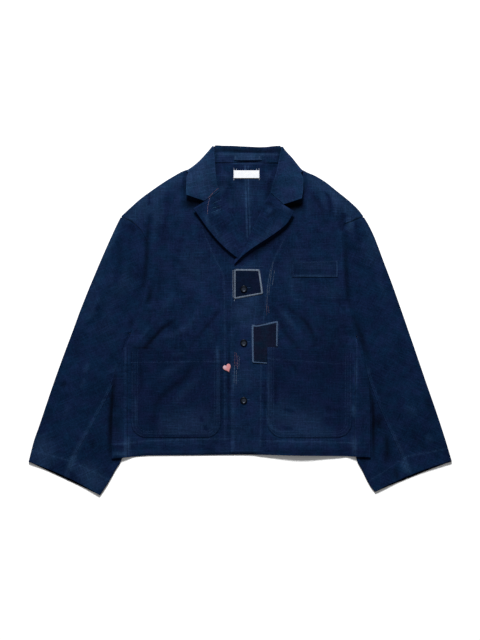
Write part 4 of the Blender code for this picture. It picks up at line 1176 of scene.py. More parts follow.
    def upper(self) -> Cloth:
        """The upper sleeve piece."""
        last = len(SLEEVE_ROWS) - 1
        t = spaced(self.top_size[0], GRID) * last
        edge, inward = self.outer_line(t)
        hole = self.hole(t)
        inner = self.inner_line(t)
        past = (t > PIT_ROW)[:, None]
        over = np.where(past, self.crossing("sleeve_seam", inner, edge), hole)
        under = np.where(past, self.crossing("sleeve_back", inner, edge), hole)
        across = spaced(self.top_size[1], GRID)
        grid = self.ring(edge, inward, over, under, self.bow(t), across, np.linspace(0, 1, 26))
        return Cloth("sleeve_top_" + self.side.word, grid, tone=self.inside(t, grid, len(across) + 5),
                     grain=-self.cut.sign * self.bias)

    def lower(self) -> Cloth:
        """The under sleeve piece, which shows beside the body."""
        last = len(SLEEVE_ROWS) - 1
        start = PIT_ROW + 0.25
        t = start + spaced(self.low_size[0], GRID) * (last - start)
        edge, _ = self.outer_line(t)
        inner = self.inner_line(t)
        run = unit(edge - inner) * (1.25 * SEAM)
        over = self.crossing("sleeve_seam", inner, edge) - run
        under = self.crossing("sleeve_back", inner, edge) - run
        inward = self.normal(self.inner, inner[:, 1], 1)
        across = spaced(self.low_size[1], GRID)
        grid = self.ring(inner, inward, over, under, self.bow(t), across, np.linspace(0, 1, 16))
        return Cloth("sleeve_under_" + self.side.word, grid, tone=self.inside(t, grid, len(across) + 5),
                     grain=-self.cut.sign * self.bias)


# ---------------------------------------------------------------- collar and lapels
@dataclass(frozen=True)
class Station:
    """Section of a turned piece: its roll, a middle point and its outer edge."""

    roll_x: float
    roll_y: float
    mid_x: float
    mid_y: float
    out_x: float
    out_y: float

    def flat(self) -> tuple[float, ...]:
        """The six numbers in order."""
        return (self.out_x, self.out_y, self.mid_x, self.mid_y, self.roll_x, self.roll_y)


LAPELS = {
    L: (Station(20.0, 187.0, 6.6, 166.5, -5.4, 145.8), Station(2, 215, -14, 189, -30, 165.0),
        Station(-12, 240, -31, 212, -50, 184.4), Station(-25, 263, -48, 235, -70.8, 208.6),
        Station(-37, 284, -63, 258, -88.4, 232.6), Station(-42.5, 294, -74, 272, -100, 249.4),
        Station(-47.2, 302.2, -83.2, 278.2, -109.0, 261.2)),
    R: (Station(-14.0, 139.0, -13.8, 135.5, -13.4, 131.8), Station(0.5, 165, 2.5, 158, 4.4, 150.4),
        Station(17, 191, 23.5, 181, 30, 170.2), Station(33, 224, 46, 207, 58.6, 188.8),
        Station(48, 256, 67, 232, 86, 207.4), Station(60, 281, 85, 255, 109, 226.8),
        Station(66, 292, 93, 266, 119.4, 243.4), Station(70.3, 298.4, 101, 270.2, 125.4, 254.4)),
}
LEAF_FRONT = {
    L: (Station(-47.8, 303.0, -83.4, 279.2, -126, 293.2), Station(-53, 319, -90, 309, -125.5, 312),
        Station(-57, 349, -90, 336, -125, 332)),
    R: (Station(70.8, 299.2, 101.4, 271.0, 143.6, 284.5), Station(75, 318, 112, 304, 146.5, 308),
        Station(85, 350, 117, 338, 147, 331)),
}
CREASE = {L: ((-64, 406), (-125.5, 350)), R: ((99, 406), (146.5, 349))}
CREASE_BEND = {L: 4.2, R: 0.4}
LEAF_BACK = {L: ((-44, -86), (-16, -28)), R: ((76, 108), (48, 58))}
LEAF_CENTRE = 17.0
STAND_ENDS = ((-59.0, -59.0), (91.4, 94.0))     # x at the neck seam and at the crest
CREST = Rail(((-130, 1.2), (-108, 2.8), (-66, 2.8), (-54, 3.4), (-42, 2.6), (-18, 2.3), (0, 1.2), (20, 0.3),
              (46, -0.8), (60, -0.4), (76, 1.4), (94, 2.4), (104, -0.6), (128, 2.6), (150, 1.0)))


def crested(grid: Array) -> Array:
    """The collar's grid with its top edge uneven, as the roll lies."""
    grid = grid.copy()
    grid[..., 1] += CREST(grid[..., 0]) * above(grid[..., 1], 356, 36)
    return grid


@dataclass
class Collar:
    """Collar leaf, stand and lapels."""

    step: float = 2.2
    columns: int = 30              # points across the leaf
    lapel_columns: int = 26
    leaf_width: float = 60.0
    full_turn: float = math.radians(88)
    curl: Array = field(default_factory=lambda: np.radians(np.linspace(18, 88, 6)))

    def shares(self, columns: int) -> Array:
        """Shares across the leaf or a lapel, closer together at both edges."""
        return spaced(self.leaf_width, self.leaf_width / columns)

    @staticmethod
    def sections(stations: Sequence[Station], count: int) -> Array:
        """Fine sections through the given ones, as rows of six numbers."""
        table = np.array([s.flat() for s in stations])
        way = np.concatenate([[0], np.cumsum(np.linalg.norm(np.diff(table[:, :2], axis=0), axis=1) + 1)])
        at = spaced(way[-1], way[-1] / count) * way[-1]
        return np.stack([Rail(zip(way, table[:, k]))(at) for k in range(6)], axis=1)

    def turned(self, sections: Array, side: Side, columns: int, point: int, rise: float) -> Array:
        """Rows of points across turned sections, ending in the rolled lip.

        Args:
            sections: Fine sections.
            side: Side of the jacket.
            columns: How many points across.
            point: Number of the section whose free corner stands up.
            rise: How far it does, in millimetres.
        """
        out, mid, roll = sections[:, 0:2], sections[:, 2:4], sections[:, 4:6]
        first, second = np.linalg.norm(mid - out, axis=1), np.linalg.norm(roll - mid, axis=1)
        length = first + second
        lip = np.minimum(LIP, 0.45 * length)
        stop = 1 - (lip + HALF) / length
        shares = self.shares(columns)
        way = shares[None] * (stop * length)[:, None]
        on_first = np.clip(way / first[:, None], 0, 1)[..., None]
        on_second = np.clip((way - first[:, None]) / second[:, None], 0, 1)[..., None]
        plan = out[:, None] + (mid - out)[:, None] * on_first + (roll - mid)[:, None] * on_second
        quick = TURN_REACH / np.clip(1.25 * length, 17, TURN_REACH)
        z = HEIGHTS.turned(side, plan[..., 0], plan[..., 1], (length[:, None] - way) * quick[:, None])
        gap = np.hypot(plan[..., 0] - out[point, 0], plan[..., 1] - out[point, 1])
        z = z + rise * np.exp(-(gap / 30) ** 2)
        rows = np.dstack([plan, z])
        run = unit(roll - plan[:, -1])
        return np.concatenate([rows, self.lip(rows[:, -1], run, np.zeros_like(run), lip)], axis=1)

    def lip(self, last: Array, run: Array, inward: Array, radius: Array, drop: Array | float = -1.0) -> Array:
        """Points of a rolled edge.

        Args:
            last: Last point of each row.
            run: Direction in which the rows run on.
            inward: Direction towards which the roll bends in plan.
            radius: Radius of the roll.
            drop: How much of it goes down (-1) or up (1).
        """
        s, c = np.sin(self.curl), 1 - np.cos(self.curl)
        drop = np.broadcast_to(np.asarray(drop, float), radius.shape)
        plan = (last[:, None, :2] + run[:, None] * (radius[:, None] * s)[..., None]
                + inward[:, None] * (radius[:, None] * c)[..., None])
        return np.dstack([plan, last[:, None, 2] + (radius * drop)[:, None] * c])

    def crease(self, side: Side) -> Array:
        """Rows that carry the leaf round its crease to beneath the neck."""
        roll, out = (np.array(p, float) for p in CREASE[side])
        run = roll - out
        length = float(np.linalg.norm(run))
        run /= length
        normal = np.array((-run[1], run[0]))
        normal *= -1 if normal[1] < 0 else 1
        shares = self.shares(self.columns) * (1 - (LIP + HALF) / length)
        base = out + np.outer(shares * length, run)
        base -= normal * (CREASE_BEND[side] * np.sin(math.pi * shares))[:, None]
        probe = base - normal * 5
        top = HEIGHTS.turned(side, probe[:, 0], probe[:, 1], length * (1 - shares))
        radius, middle = (top - HALF) / 2, (top + HALF) / 2
        rows = []
        for angle in np.linspace(0, math.pi, 9):
            plan = base + normal * (radius * math.sin(angle) - radius - HALF)[:, None]
            row = np.column_stack([plan, middle + radius * math.cos(angle)])
            inward = -normal * math.sin(angle)
            tail = self.lip(row[-1:], run[None], inward[None], np.array([LIP]), -math.cos(angle))
            rows.append(np.concatenate([row, tail[0]]))
        return np.array(rows)

    def hidden(self) -> Array:
        """Rows of the leaf where it lies behind the neck."""
        ends = [(CREASE[L][0][0], CREASE[L][1][0]), *LEAF_BACK[L], (LEAF_CENTRE, LEAF_CENTRE),
                *reversed(LEAF_BACK[R]), (CREASE[R][0][0], CREASE[R][1][0])]
        at = np.linspace(0.35, len(ends) - 1.35, 34)
        roll = np.interp(at, range(len(ends)), [e[0] for e in ends])
        low = np.interp(at, range(len(ends)), [e[1] for e in ends])
        shares = self.shares(self.columns)
        x = mix(low[:, None], roll[:, None], shares)
        y = np.broadcast_to(mix(FALL_LOW_Y, ROLL_Y - LEAF_RADIUS, shares), x.shape)
        rows = np.dstack([x, y, np.full(x.shape, HALF)])
        up = np.broadcast_to(np.array((0.0, 1.0)), (len(at), 2))
        radius = np.full(len(at), LEAF_RADIUS)
        return np.concatenate([rows, self.lip(rows[:, -1], up, up * 0, radius, 1.0)], axis=1)

    def leaf(self) -> Cloth:
        """The collar leaf from one point round the neck to the other."""
        left, right = (self.turned(self.sections(LEAF_FRONT[side], 28), side, self.columns, 0, CORNER_RISE)
                       for side in Side)
        grid = np.concatenate([left, self.crease(L), self.hidden(), self.crease(R)[::-1], right[::-1]])
        return Cloth("collar_fall", crested(grid), grain=12.0)

    @classmethod
    def crest(cls) -> tuple[float, float]:
        """Radius of the stand's rolled top, and y of its crest."""
        drop = 1 - math.cos(cls.full_turn)
        low_end = HALF + LEAF_RADIUS * drop + 0.65
        radius = (ROLL_TOP - HALF - low_end) / drop
        return radius, ROLL_Y - radius * math.sin(cls.full_turn)

    @classmethod
    def stand_height(cls, x: Array, y: Array) -> Array:
        """Middle of the stand's cloth."""
        crest_y = cls.crest()[1]
        base = HEIGHTS.back(x, np.full_like(x, NECK_Y))
        return mix(base, ROLL_TOP - HALF, above(y, NECK_Y, crest_y - NECK_Y))

    def stand(self) -> Cloth:
        """The band inside the neck, rolled over at its top."""
        radius, crest_y = self.crest()
        y = mix(NECK_Y + SEAM, crest_y, spaced(36, self.step))
        over = spaced(152, self.step)
        up = (y - NECK_Y) / STAND_TALL
        left, right = mix(*STAND_ENDS[0], smooth(up)), mix(*STAND_ENDS[1], up)
        x = mix(left[:, None], right[:, None], over)
        yy = np.broadcast_to(y[:, None], x.shape)
        grid = np.dstack([x, yy, self.stand_height(x, yy)])
        roll = [grid[-1] + (0, radius * math.sin(a), -radius * (1 - math.cos(a)))
                for a in np.radians(np.linspace(15, 88, 6))]
        return Cloth("collar_stand", crested(np.concatenate([grid, roll])))

    def lapel(self, side: Side) -> Cloth:
        """One lapel, from its lower end to the notch."""
        sections = self.sections(LAPELS[side], 62)
        grid = self.turned(sections, side, self.lapel_columns, -1, 0.5 * CORNER_RISE)
        return Cloth("lapel_" + side.word, grid, grain=side.value * -28.0)


# ---------------------------------------------------------------- pieces sewn on
def quad_grid(corners: Sequence[Point], u: Array, v: Array) -> Array:
    """Plan points over four corners (low left, low right, top right, top left)."""
    a, b, c, d = (np.array(p, float) for p in corners)
    uu, vv = u[None, :, None], v[:, None, None]
    return mix(mix(a, b, uu), mix(d, c, uu), vv)


@dataclass
class HipPocket:
    """Patch pocket with round lower corners, a little open along its top."""

    side: Side
    bottom: float = -272.0
    depth: float = 205.0
    corner: float = 36.0          # radius of the lower corners
    off: float = 0.6              # gap to the cloth beneath
    tops = {L: ((-254, -69), (-45, -66)), R: ((63, -61), (260, -75))}
    # stitch rows round the edge: name, inset, wear, band and pucker
    edges = (("edge", 3.0, 0.22, 2.2, 0.25), ("second", 9.5, 0.16, 2.0, 0.2), ("third", 15.0, 0.1, 2.0, 0.12))

    def cloth(self) -> Cloth:
        """The pocket's cloth."""
        (x0, y0), (x1, y1) = self.tops[self.side]
        down = spaced(self.depth, GRID)[:, None]
        across = spaced(x1 - x0, GRID)[None, :]
        to_bottom = self.depth * (1 - down)
        inset = self.corner - np.sqrt(self.corner ** 2 - np.maximum(self.corner - to_bottom, 0) ** 2)
        y = mix(mix(y0, y1, across), self.bottom, down)
        x = mix(x0 + inset, x1 - inset, across)
        x, y = np.broadcast_arrays(x, y)
        hollow = 0.9 * smooth(np.minimum(across, 1 - across) / 0.2) * smooth((1 - down) / 0.25)
        over_patch = 0.0
        if self.side is R:
            over_patch = (THIN + SEWN) * below(x, 112, 18) * above(y, -128, 20)
        sides = np.minimum(across, 1 - across) * (x1 - x0 - 2 * inset)
        edge = 1.0 * np.exp(-(np.minimum(sides, (1 - down) * self.depth) / 3.2) ** 2)
        z = HEIGHTS.under(self.side, x, y) + CLOTH + self.off + hollow + over_patch - edge
        return Cloth("hip_pocket_" + self.side.word, np.dstack([x, y, z]))

    def outline(self, inset: float) -> Line:
        """Path down one side, round the corners and up the other, inset from the edge."""
        (x0, y0), (x1, y1) = self.tops[self.side]
        left, right, low, r = x0 + inset, x1 - inset, self.bottom + inset, self.corner - inset
        turn = np.radians(np.linspace(180, 270, 9))
        first = [(left + r + r * math.cos(a), low + r + r * math.sin(a)) for a in turn]
        second = [(right - r - r * math.cos(a), low + r + r * math.sin(a)) for a in turn[::-1]]
        return ((left, y0 - 1.5), *first, *second, (right, y1 - 1.5))

    def seams(self) -> tuple[Seam, ...]:
        """The pocket's stitch lines."""
        (x0, y0), (x1, y1) = self.tops[self.side]
        drop = 28 if self.side is L else 27
        word = self.side.word
        rows = [Seam(f"pocket_{name}_{word}", self.outline(inset), wear=wear, band=band, pucker=pucker,
                     soft=False) for name, inset, wear, band, pucker in self.edges]
        top = Seam(f"pocket_top_{word}", ((x0 + 2, y0 - drop), (x1 - 2, y1 - drop)), wear=0.34, band=2.2)
        return (*rows, top)


@dataclass(frozen=True)
class Scrap:
    """A small flat piece over four corners."""

    name: str
    corners: Line
    thickness: float
    extra: float = 0.0

    def cloth(self, height: Callable[[Array, Array], Array], step: float = 1.6) -> Cloth:
        """The piece's cloth.

        Args:
            height: Gives the height of the cloth beneath.
            step: Spacing of its points.
        """
        width = math.dist(self.corners[0], self.corners[1])
        tall = math.dist(self.corners[0], self.corners[3])
        plan = quad_grid(self.corners, spaced(width, step, (0.5, 1.1)), spaced(tall, step, (0.5, 1.1)))
        z = height(plan[..., 0], plan[..., 1]) + HALF + SEWN + self.thickness / 2 + self.extra
        return Cloth(self.name, np.dstack([plan, z]), thickness=self.thickness)


WELT = Scrap("chest_welt", ((120, 102.6), (227.3, 102.2), (227.3, 141), (120, 137)), CLOTH)
PATCH_UPPER = Scrap("patch_upper", ((-15.5, 51.5), (52, 63), (45, 118.5), (-15.5, 120.5)), THIN)
PATCH_LOWER = Scrap("patch_lower", ((29, -98), (86, -100), (88, -2), (28, -10)), THIN, 0.1)
LABEL = Scrap("neck_label", ((-15.4, 332.7), (44.6, 332.7), (44.6, 350.5), (-15.4, 350.5)), THIN)
LOOP = Scrap("hanger_loop", ((-15, 374), (51, 374), (51, 386), (-15, 386)), THIN)
BUTTONS = {"button_top": (8.5, 74.2), "button_middle": (8.4, -51.3), "button_low": (8.2, -185.2)}


def frame_shift() -> Array:
    """Way from the pattern's origin to the frame's, read off the label."""
    low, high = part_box("neck_label")
    middle = (low + high) / 2 / MM
    corners = np.array(LABEL.corners)
    return np.array((middle.x - corners[:, 0].mean(), middle.y - corners[:, 1].mean(), 0.0))


SHIFT = frame_shift()


# ---------------------------------------------------------------- node trees
class Wire:
    """A socket of a shader tree that takes part in Python arithmetic."""

    def __init__(self, tree: "Tree", socket: bpy.types.NodeSocket) -> None:
        """Keep the socket and the tree that it belongs to."""
        self.tree = tree
        self.socket = socket

    def beside(self, out: int | str) -> "Wire":
        """Another output of the same node."""
        return Wire(self.tree, self.socket.node.outputs[out])

    def _do(self, operation: str, *others: "Wire | float") -> "Wire":
        """One Math node on this value."""
        return self.tree.add("ShaderNodeMath", {"operation": operation}, self, *others)

    def __add__(self, other: "Wire | float") -> "Wire":
        """Sum."""
        return self._do("ADD", other)

    __radd__ = __add__

    def __sub__(self, other: "Wire | float") -> "Wire":
        """Difference."""
        return self._do("SUBTRACT", other)

    def __rsub__(self, other: float) -> "Wire":
        """A number less this value."""
        return self.tree.add("ShaderNodeMath", {"operation": "SUBTRACT"}, other, self)

    def __mul__(self, other: "Wire | float") -> "Wire":
        """Product."""
        return self._do("MULTIPLY", other)

    __rmul__ = __mul__

    def __abs__(self) -> "Wire":
        """Value without its sign."""
        return self._do("ABSOLUTE")

    def sin(self) -> "Wire":
        """Sine."""
        return self._do("SINE")

    def most(self, other: "Wire | float") -> "Wire":
        """The larger of the two."""
        return self._do("MAXIMUM", other)

    def least(self, other: "Wire | float") -> "Wire":
        """The smaller of the two."""
        return self._do("MINIMUM", other)

    def held(self) -> "Wire":
        """Kept between 0 and 1."""
        return self.most(0.0).least(1.0)

    def step(self, low: float, high: float) -> "Wire":
        """Smooth step from low to high."""
        kind = {"interpolation_type": "SMOOTHSTEP"}
        return self.tree.add("ShaderNodeMapRange", kind, self, low, high, 0.0, 1.0)


class Tree:
    """Builder for a node tree: one method adds any node, settings first, then sockets."""

    def __init__(self, nodes: bpy.types.NodeTree) -> None:
        """Build in the given node tree."""
        self.nodes = nodes

    def add(self, kind: str, settings: dict | None = None, *values: object, out: int | str = 0,
            **named: object) -> Wire:
        """Add a node.

        Args:
            kind: The node's type name.
            settings: Properties set before any socket.
            values: Values or wires for the sockets in order; None leaves one as it is.
            out: Which output to return.
            named: Values or wires by socket name, with _ for a space.

        Returns:
            The chosen output.
        """
        node = self.nodes.nodes.new(kind)
        for key, value in (settings or {}).items():
            setattr(node, key, value)
        for socket, value in zip(node.inputs, values):
            self.feed(socket, value)
        for key, value in named.items():
            self.feed(node.inputs[key.replace("_", " ")], value)
        return Wire(self, node.outputs[out])

    def feed(self, socket: bpy.types.NodeSocket, value: object) -> None:
        """Link a wire to a socket, or set its value."""
        if value is None:
            return
        if isinstance(value, Wire):
            self.nodes.links.new(value.socket, socket)
        elif isinstance(value, tuple) and len(value) == 3 and socket.type == "RGBA":
            socket.default_value = (*value, 1.0)
        else:
            socket.default_value = value

    def blend(self, factor: Wire | float, a: object, b: object, mode: str = "MIX") -> Wire:
        """Mix two colours."""
        node = self.nodes.nodes.new("ShaderNodeMix")
        node.data_type, node.blend_type = "RGBA", mode
        self.feed(node.inputs[0], factor)
        self.feed(node.inputs[6], a)
        self.feed(node.inputs[7], b)
        return Wire(self, node.outputs[2])

    def noise(self, place: Wire, scale: float, detail: float = 2.0, rough: float = 0.5) -> Wire:
        """Noise, its value running from 0 to 1."""
        return self.add("ShaderNodeTexNoise", {"noise_dimensions": "3D"}, Vector=place, Scale=scale,
                        Detail=detail, Roughness=rough)

    def stretch(self, place: Wire, x: float, y: float, z: float = 1.0, turn: float = 0.0) -> Wire:
        """Place scaled along each axis, then turned about Z."""
        return self.add("ShaderNodeMapping", {"vector_type": "POINT"}, Vector=place, Scale=(x, y, z),
                        Rotation=(0.0, 0.0, turn))

    def attribute(self, name: str) -> Wire:
        """Value of a named attribute."""
        return self.add("ShaderNodeAttribute", {"attribute_name": name}, out="Fac")

    def along_grain(self) -> Wire:
        """Place along the cloth's grain, in millimetres."""
        return self.stretch(self.add("ShaderNodeUVMap", {"uv_map": "grain"}), *PER_METRE)

    def in_room(self) -> Wire:
        """Place in the object, in millimetres."""
        return self.stretch(self.add("ShaderNodeTexCoord", None, out="Object"), *PER_METRE)

    def weave(self, place: Wire, pitch: float, wobble: Wire | float = 0.0) -> Wire:
        """Height of a plain weave, from 0 between the threads to 1 on top of them.

        Args:
            place: Place along the grain.
            pitch: Way from thread to thread.
            wobble: Shift that bends the threads.
        """
        split = self.add("ShaderNodeSeparateXYZ", None, place)
        weft, warp = (((split.beside(k) + wobble) * (math.pi / pitch)).sin() for k in (0, 1))
        over = (weft * warp * 5.0 + 0.5).held()
        return abs(warp) * over + abs(weft) * (1.0 - over)

    def dimmed(self, colour: Wire, share: Wire) -> Wire:
        """Colour times a share of grey."""
        grey = self.add("ShaderNodeCombineColor", None, share, share, share)
        return self.blend(1.0, colour, grey, "MULTIPLY")


class Surfacing(Tree):
    """Tree of a new material, with its shader."""

    def __init__(self, name: str, specular: float, roughness: float = 0.5) -> None:
        """Make the material and set how shiny it is."""
        self.material = bpy.data.materials.new(name)
        self.material.use_nodes = True
        super().__init__(self.material.node_tree)
        self.shader = self.nodes.nodes["Principled BSDF"]
        self.give("Specular IOR Level", specular)
        self.give("Roughness", roughness)

    def give(self, name: str, value: object) -> None:
        """Feed one of the shader's sockets."""
        self.feed(self.shader.inputs[name], value)

    def bump(self, strength: float, distance: float, height: Wire) -> None:
        """Relief from a height, the distance in metres."""
        relief = self.add("ShaderNodeBump", None, Strength=strength, Distance=distance, Height=height)
        self.give("Normal", relief)


@dataclass(frozen=True)
class IndigoCloth:
    """Slubby hand-dyed cotton: uneven indigo, pale where it is worn and under painted highlights, darker
    under painted shade.

    Pitch is in millimetres; mottle scales the clouds of the dye, slub the uneven threads and relief the
    bumps. Violet and teal are the two leanings of the hue.
    """

    name: str
    base: Colour
    pitch: float = 0.85
    mottle: float = 1.0
    slub: float = 1.0
    relief: float = 1.0
    violet: Colour = (1.30, 0.94, 1.03)
    teal: Colour = (0.78, 1.05, 0.99)
    pale_tint: Colour = (0.040, 0.100, 0.215)

    def scaled(self, red: float, green: float, blue: float) -> Colour:
        """The base colour with each part multiplied."""
        return (self.base[0] * red, self.base[1] * green, self.base[2] * blue)

    def make(self) -> bpy.types.Material:
        """Build the material."""
        t = Surfacing(self.name, specular=0.03)
        place, room = t.along_grain(), t.in_room()
        threads = t.weave(place, self.pitch, t.noise(place, 0.09, 2.0) * 1.6)
        up = t.noise(t.stretch(place, 0.34, 0.030), 1.0, 2.0, 0.6)
        side = t.noise(t.stretch(place, 0.026, 0.34), 1.0, 2.0, 0.6)
        slubs = up.step(0.46, 0.74) * 0.55 + side.step(0.46, 0.74) * 0.75
        broad, blotch = t.noise(room, 0.010, 2.0, 0.5), t.noise(room, 0.050, 3.0, 0.6)
        fine = t.noise(place, 0.26, 3.0, 0.7)
        tone = t.attribute("tone")
        level = ((broad - 0.5) * (0.9 * self.mottle) + (blotch - 0.5) * (1.0 * self.mottle)
                 + (fine - 0.5) * (1.5 * self.slub) + (slubs - 0.45) * (0.42 * self.slub) + 0.5).held()
        colour = t.blend(level, self.scaled(0.35, 0.45, 0.52), self.scaled(1.75, 1.60, 1.50))
        hue = t.noise(room, 0.036, 2.0, 0.6).step(0.36, 0.64)
        colour = t.blend(1.0, colour, t.blend(hue, self.teal, self.violet), "MULTIPLY")
        # Above 0 the tone blends towards the pale tint: wear along seams and edges, and painted highlight on
        # the ridges of folds.
        wear_and_highlight = (tone.most(0.0) * 0.55 * (fine + 0.5) * (slubs * 0.7 + 0.7)).held()
        colour = t.blend(wear_and_highlight * (threads * 0.5 + 0.5), colour, self.pale_tint)
        # Below 0 the tone darkens the cloth: painted shade in fold troughs, beneath the lapels and collar and
        # inside the cuffs, with some broad darker patches; the weave darkens between its threads.
        shade_and_weave = (1.0 - (tone * -1.0).held() * 0.88) * (threads * 0.16 + 0.84)
        t.give("Base Color", t.dimmed(colour, shade_and_weave))
        t.give("Roughness", (fine * 0.2 + 0.82).held())
        t.bump(0.6 * self.relief, 0.0005, threads * 0.4 + slubs * 0.6 + fine * 0.9)
        return t.material


@dataclass(frozen=True)
class PlainCloth:
    """Soft cotton of one colour, worn towards a second, paler one."""

    name: str
    base: Colour
    pale_tint: Colour
    rub_low: float = 0.45
    rub_high: float = 0.75
    pitch: float = 0.7

    def make(self) -> bpy.types.Material:
        """Build the material."""
        t = Surfacing(self.name, specular=0.15, roughness=0.9)
        place = t.along_grain()
        threads = t.weave(place, self.pitch)
        cloud = (t.noise(place, 0.12, 3.0).step(self.rub_low, self.rub_high) + t.attribute("tone")).held()
        t.give("Base Color", t.dimmed(t.blend(cloud, self.base, self.pale_tint), threads * 0.2 + 0.8))
        t.bump(0.5, 0.0003, threads)
        return t.material


@dataclass(frozen=True)
class Yarn:
    """Sewing thread: fine twist, each stitch a little lighter or darker."""

    name: str
    base: Colour
    faded: Colour
    gloss: float = 0.2

    def make(self) -> bpy.types.Material:
        """Build the material."""
        t = Surfacing(self.name, specular=self.gloss, roughness=0.75)
        place = t.in_room()
        level = (t.attribute("odd") * 0.6 + t.noise(place, 0.05, 2.0) * 0.8 - 0.2).held()
        t.give("Base Color", t.blend(level, self.base, self.faded))
        twist = t.add("ShaderNodeTexWave", {"wave_type": "BANDS", "bands_direction": "DIAGONAL"},
                      Vector=place, Scale=0.9, Distortion=0.4)
        t.bump(0.4, 0.0001, twist)
        return t.material


@dataclass(frozen=True)
class ButtonPlastic:
    """Dark moulded plastic with a faint swirl and fine scratches."""

    name: str = "button_plastic"
    base: Colour = (0.0008, 0.0016, 0.0036)
    swirl: Colour = (0.0020, 0.0036, 0.0070)
    shine: float = 0.10
    tint: Colour = (0.72, 0.84, 1.0)

    def make(self) -> bpy.types.Material:
        """Build the material."""
        t = Surfacing(self.name, specular=self.shine)
        place = t.in_room()
        cloud = t.noise(place, 0.18, 3.0, 0.6).step(0.45, 0.8)
        t.give("Base Color", t.blend(cloud, self.base, self.swirl))
        scratch = t.noise(t.stretch(place, 0.2, 5.0, 1.0, 0.6), 1.0, 2.0)
        t.give("Roughness", scratch * 0.2 + 0.22)
        t.bump(0.15, 0.0001, scratch)
        t.give("Specular Tint", self.tint)
        return t.material


FINISHES = {
    "body_cloth": IndigoCloth("indigo_body", (0.0031, 0.0108, 0.0365)),
    "sleeve_cloth": IndigoCloth("indigo_sleeve", (0.0024, 0.0099, 0.0337), mottle=0.9),
    "collar_cloth": IndigoCloth("indigo_collar", (0.0045, 0.0150, 0.0450)),
    "pocket_cloth": IndigoCloth("indigo_pocket", (0.0025, 0.0082, 0.0300), mottle=0.6),
    "patch_cloth": IndigoCloth("night_patch", (0.0020, 0.0056, 0.0185), mottle=0.8),
    "patch_red_cloth": IndigoCloth("maroon_patch", (0.0025, 0.0076, 0.0195), mottle=0.8,
                                   violet=(1.7, 0.80, 0.92), teal=(0.8, 1.1, 1.1)),
    "heart_cloth": PlainCloth("coral_cloth", (0.50, 0.19, 0.20), (0.46, 0.36, 0.42), 0.62, 0.9),
    "label_cloth": PlainCloth("label_tape", (0.70, 0.72, 0.76), (0.78, 0.79, 0.82)),
    "button_plastic": ButtonPlastic(),
    "button_face": ButtonPlastic("button_face", (0.0085, 0.0125, 0.0210), (0.024, 0.030, 0.042), 0.20),
}
YARNS = {thread: Yarn(thread.value, base, faded) for thread, base, faded in (
    (Thread.TOP, (0.006, 0.022, 0.062), (0.024, 0.058, 0.130)),
    (Thread.PALE, (0.085, 0.115, 0.165), (0.15, 0.19, 0.25)),
    (Thread.BLUE, (0.030, 0.060, 0.125), (0.060, 0.105, 0.185)),
    (Thread.RUST, (0.095, 0.032, 0.030), (0.16, 0.070, 0.055)),
    (Thread.PINK, (0.16, 0.095, 0.12), (0.24, 0.16, 0.19)),
    (Thread.TEAL, (0.012, 0.060, 0.125), (0.030, 0.105, 0.180)),
    (Thread.DARK, (0.010, 0.012, 0.022), (0.030, 0.034, 0.050)),
    (Thread.WHITE, (0.30, 0.34, 0.42), (0.50, 0.54, 0.62)),
)}
MATERIALS: dict[str, bpy.types.Material] = {}


def finish(name: str) -> bpy.types.Material:
    """Material of a slot or thread, made once."""
    if name not in MATERIALS:
        MATERIALS[name] = (FINISHES.get(name) or YARNS[Thread(name)]).make()
    return MATERIALS[name]


# ---------------------------------------------------------------- stitches
@dataclass(frozen=True)
class Stitch:
    """Size of the stitches of a row, in millimetres."""

    pitch: float = 3.3
    length: float = 2.5
    thick: float = 0.55
    rise: float = 0.45
    turn: float = 0.0
    uneven: float = 0.08


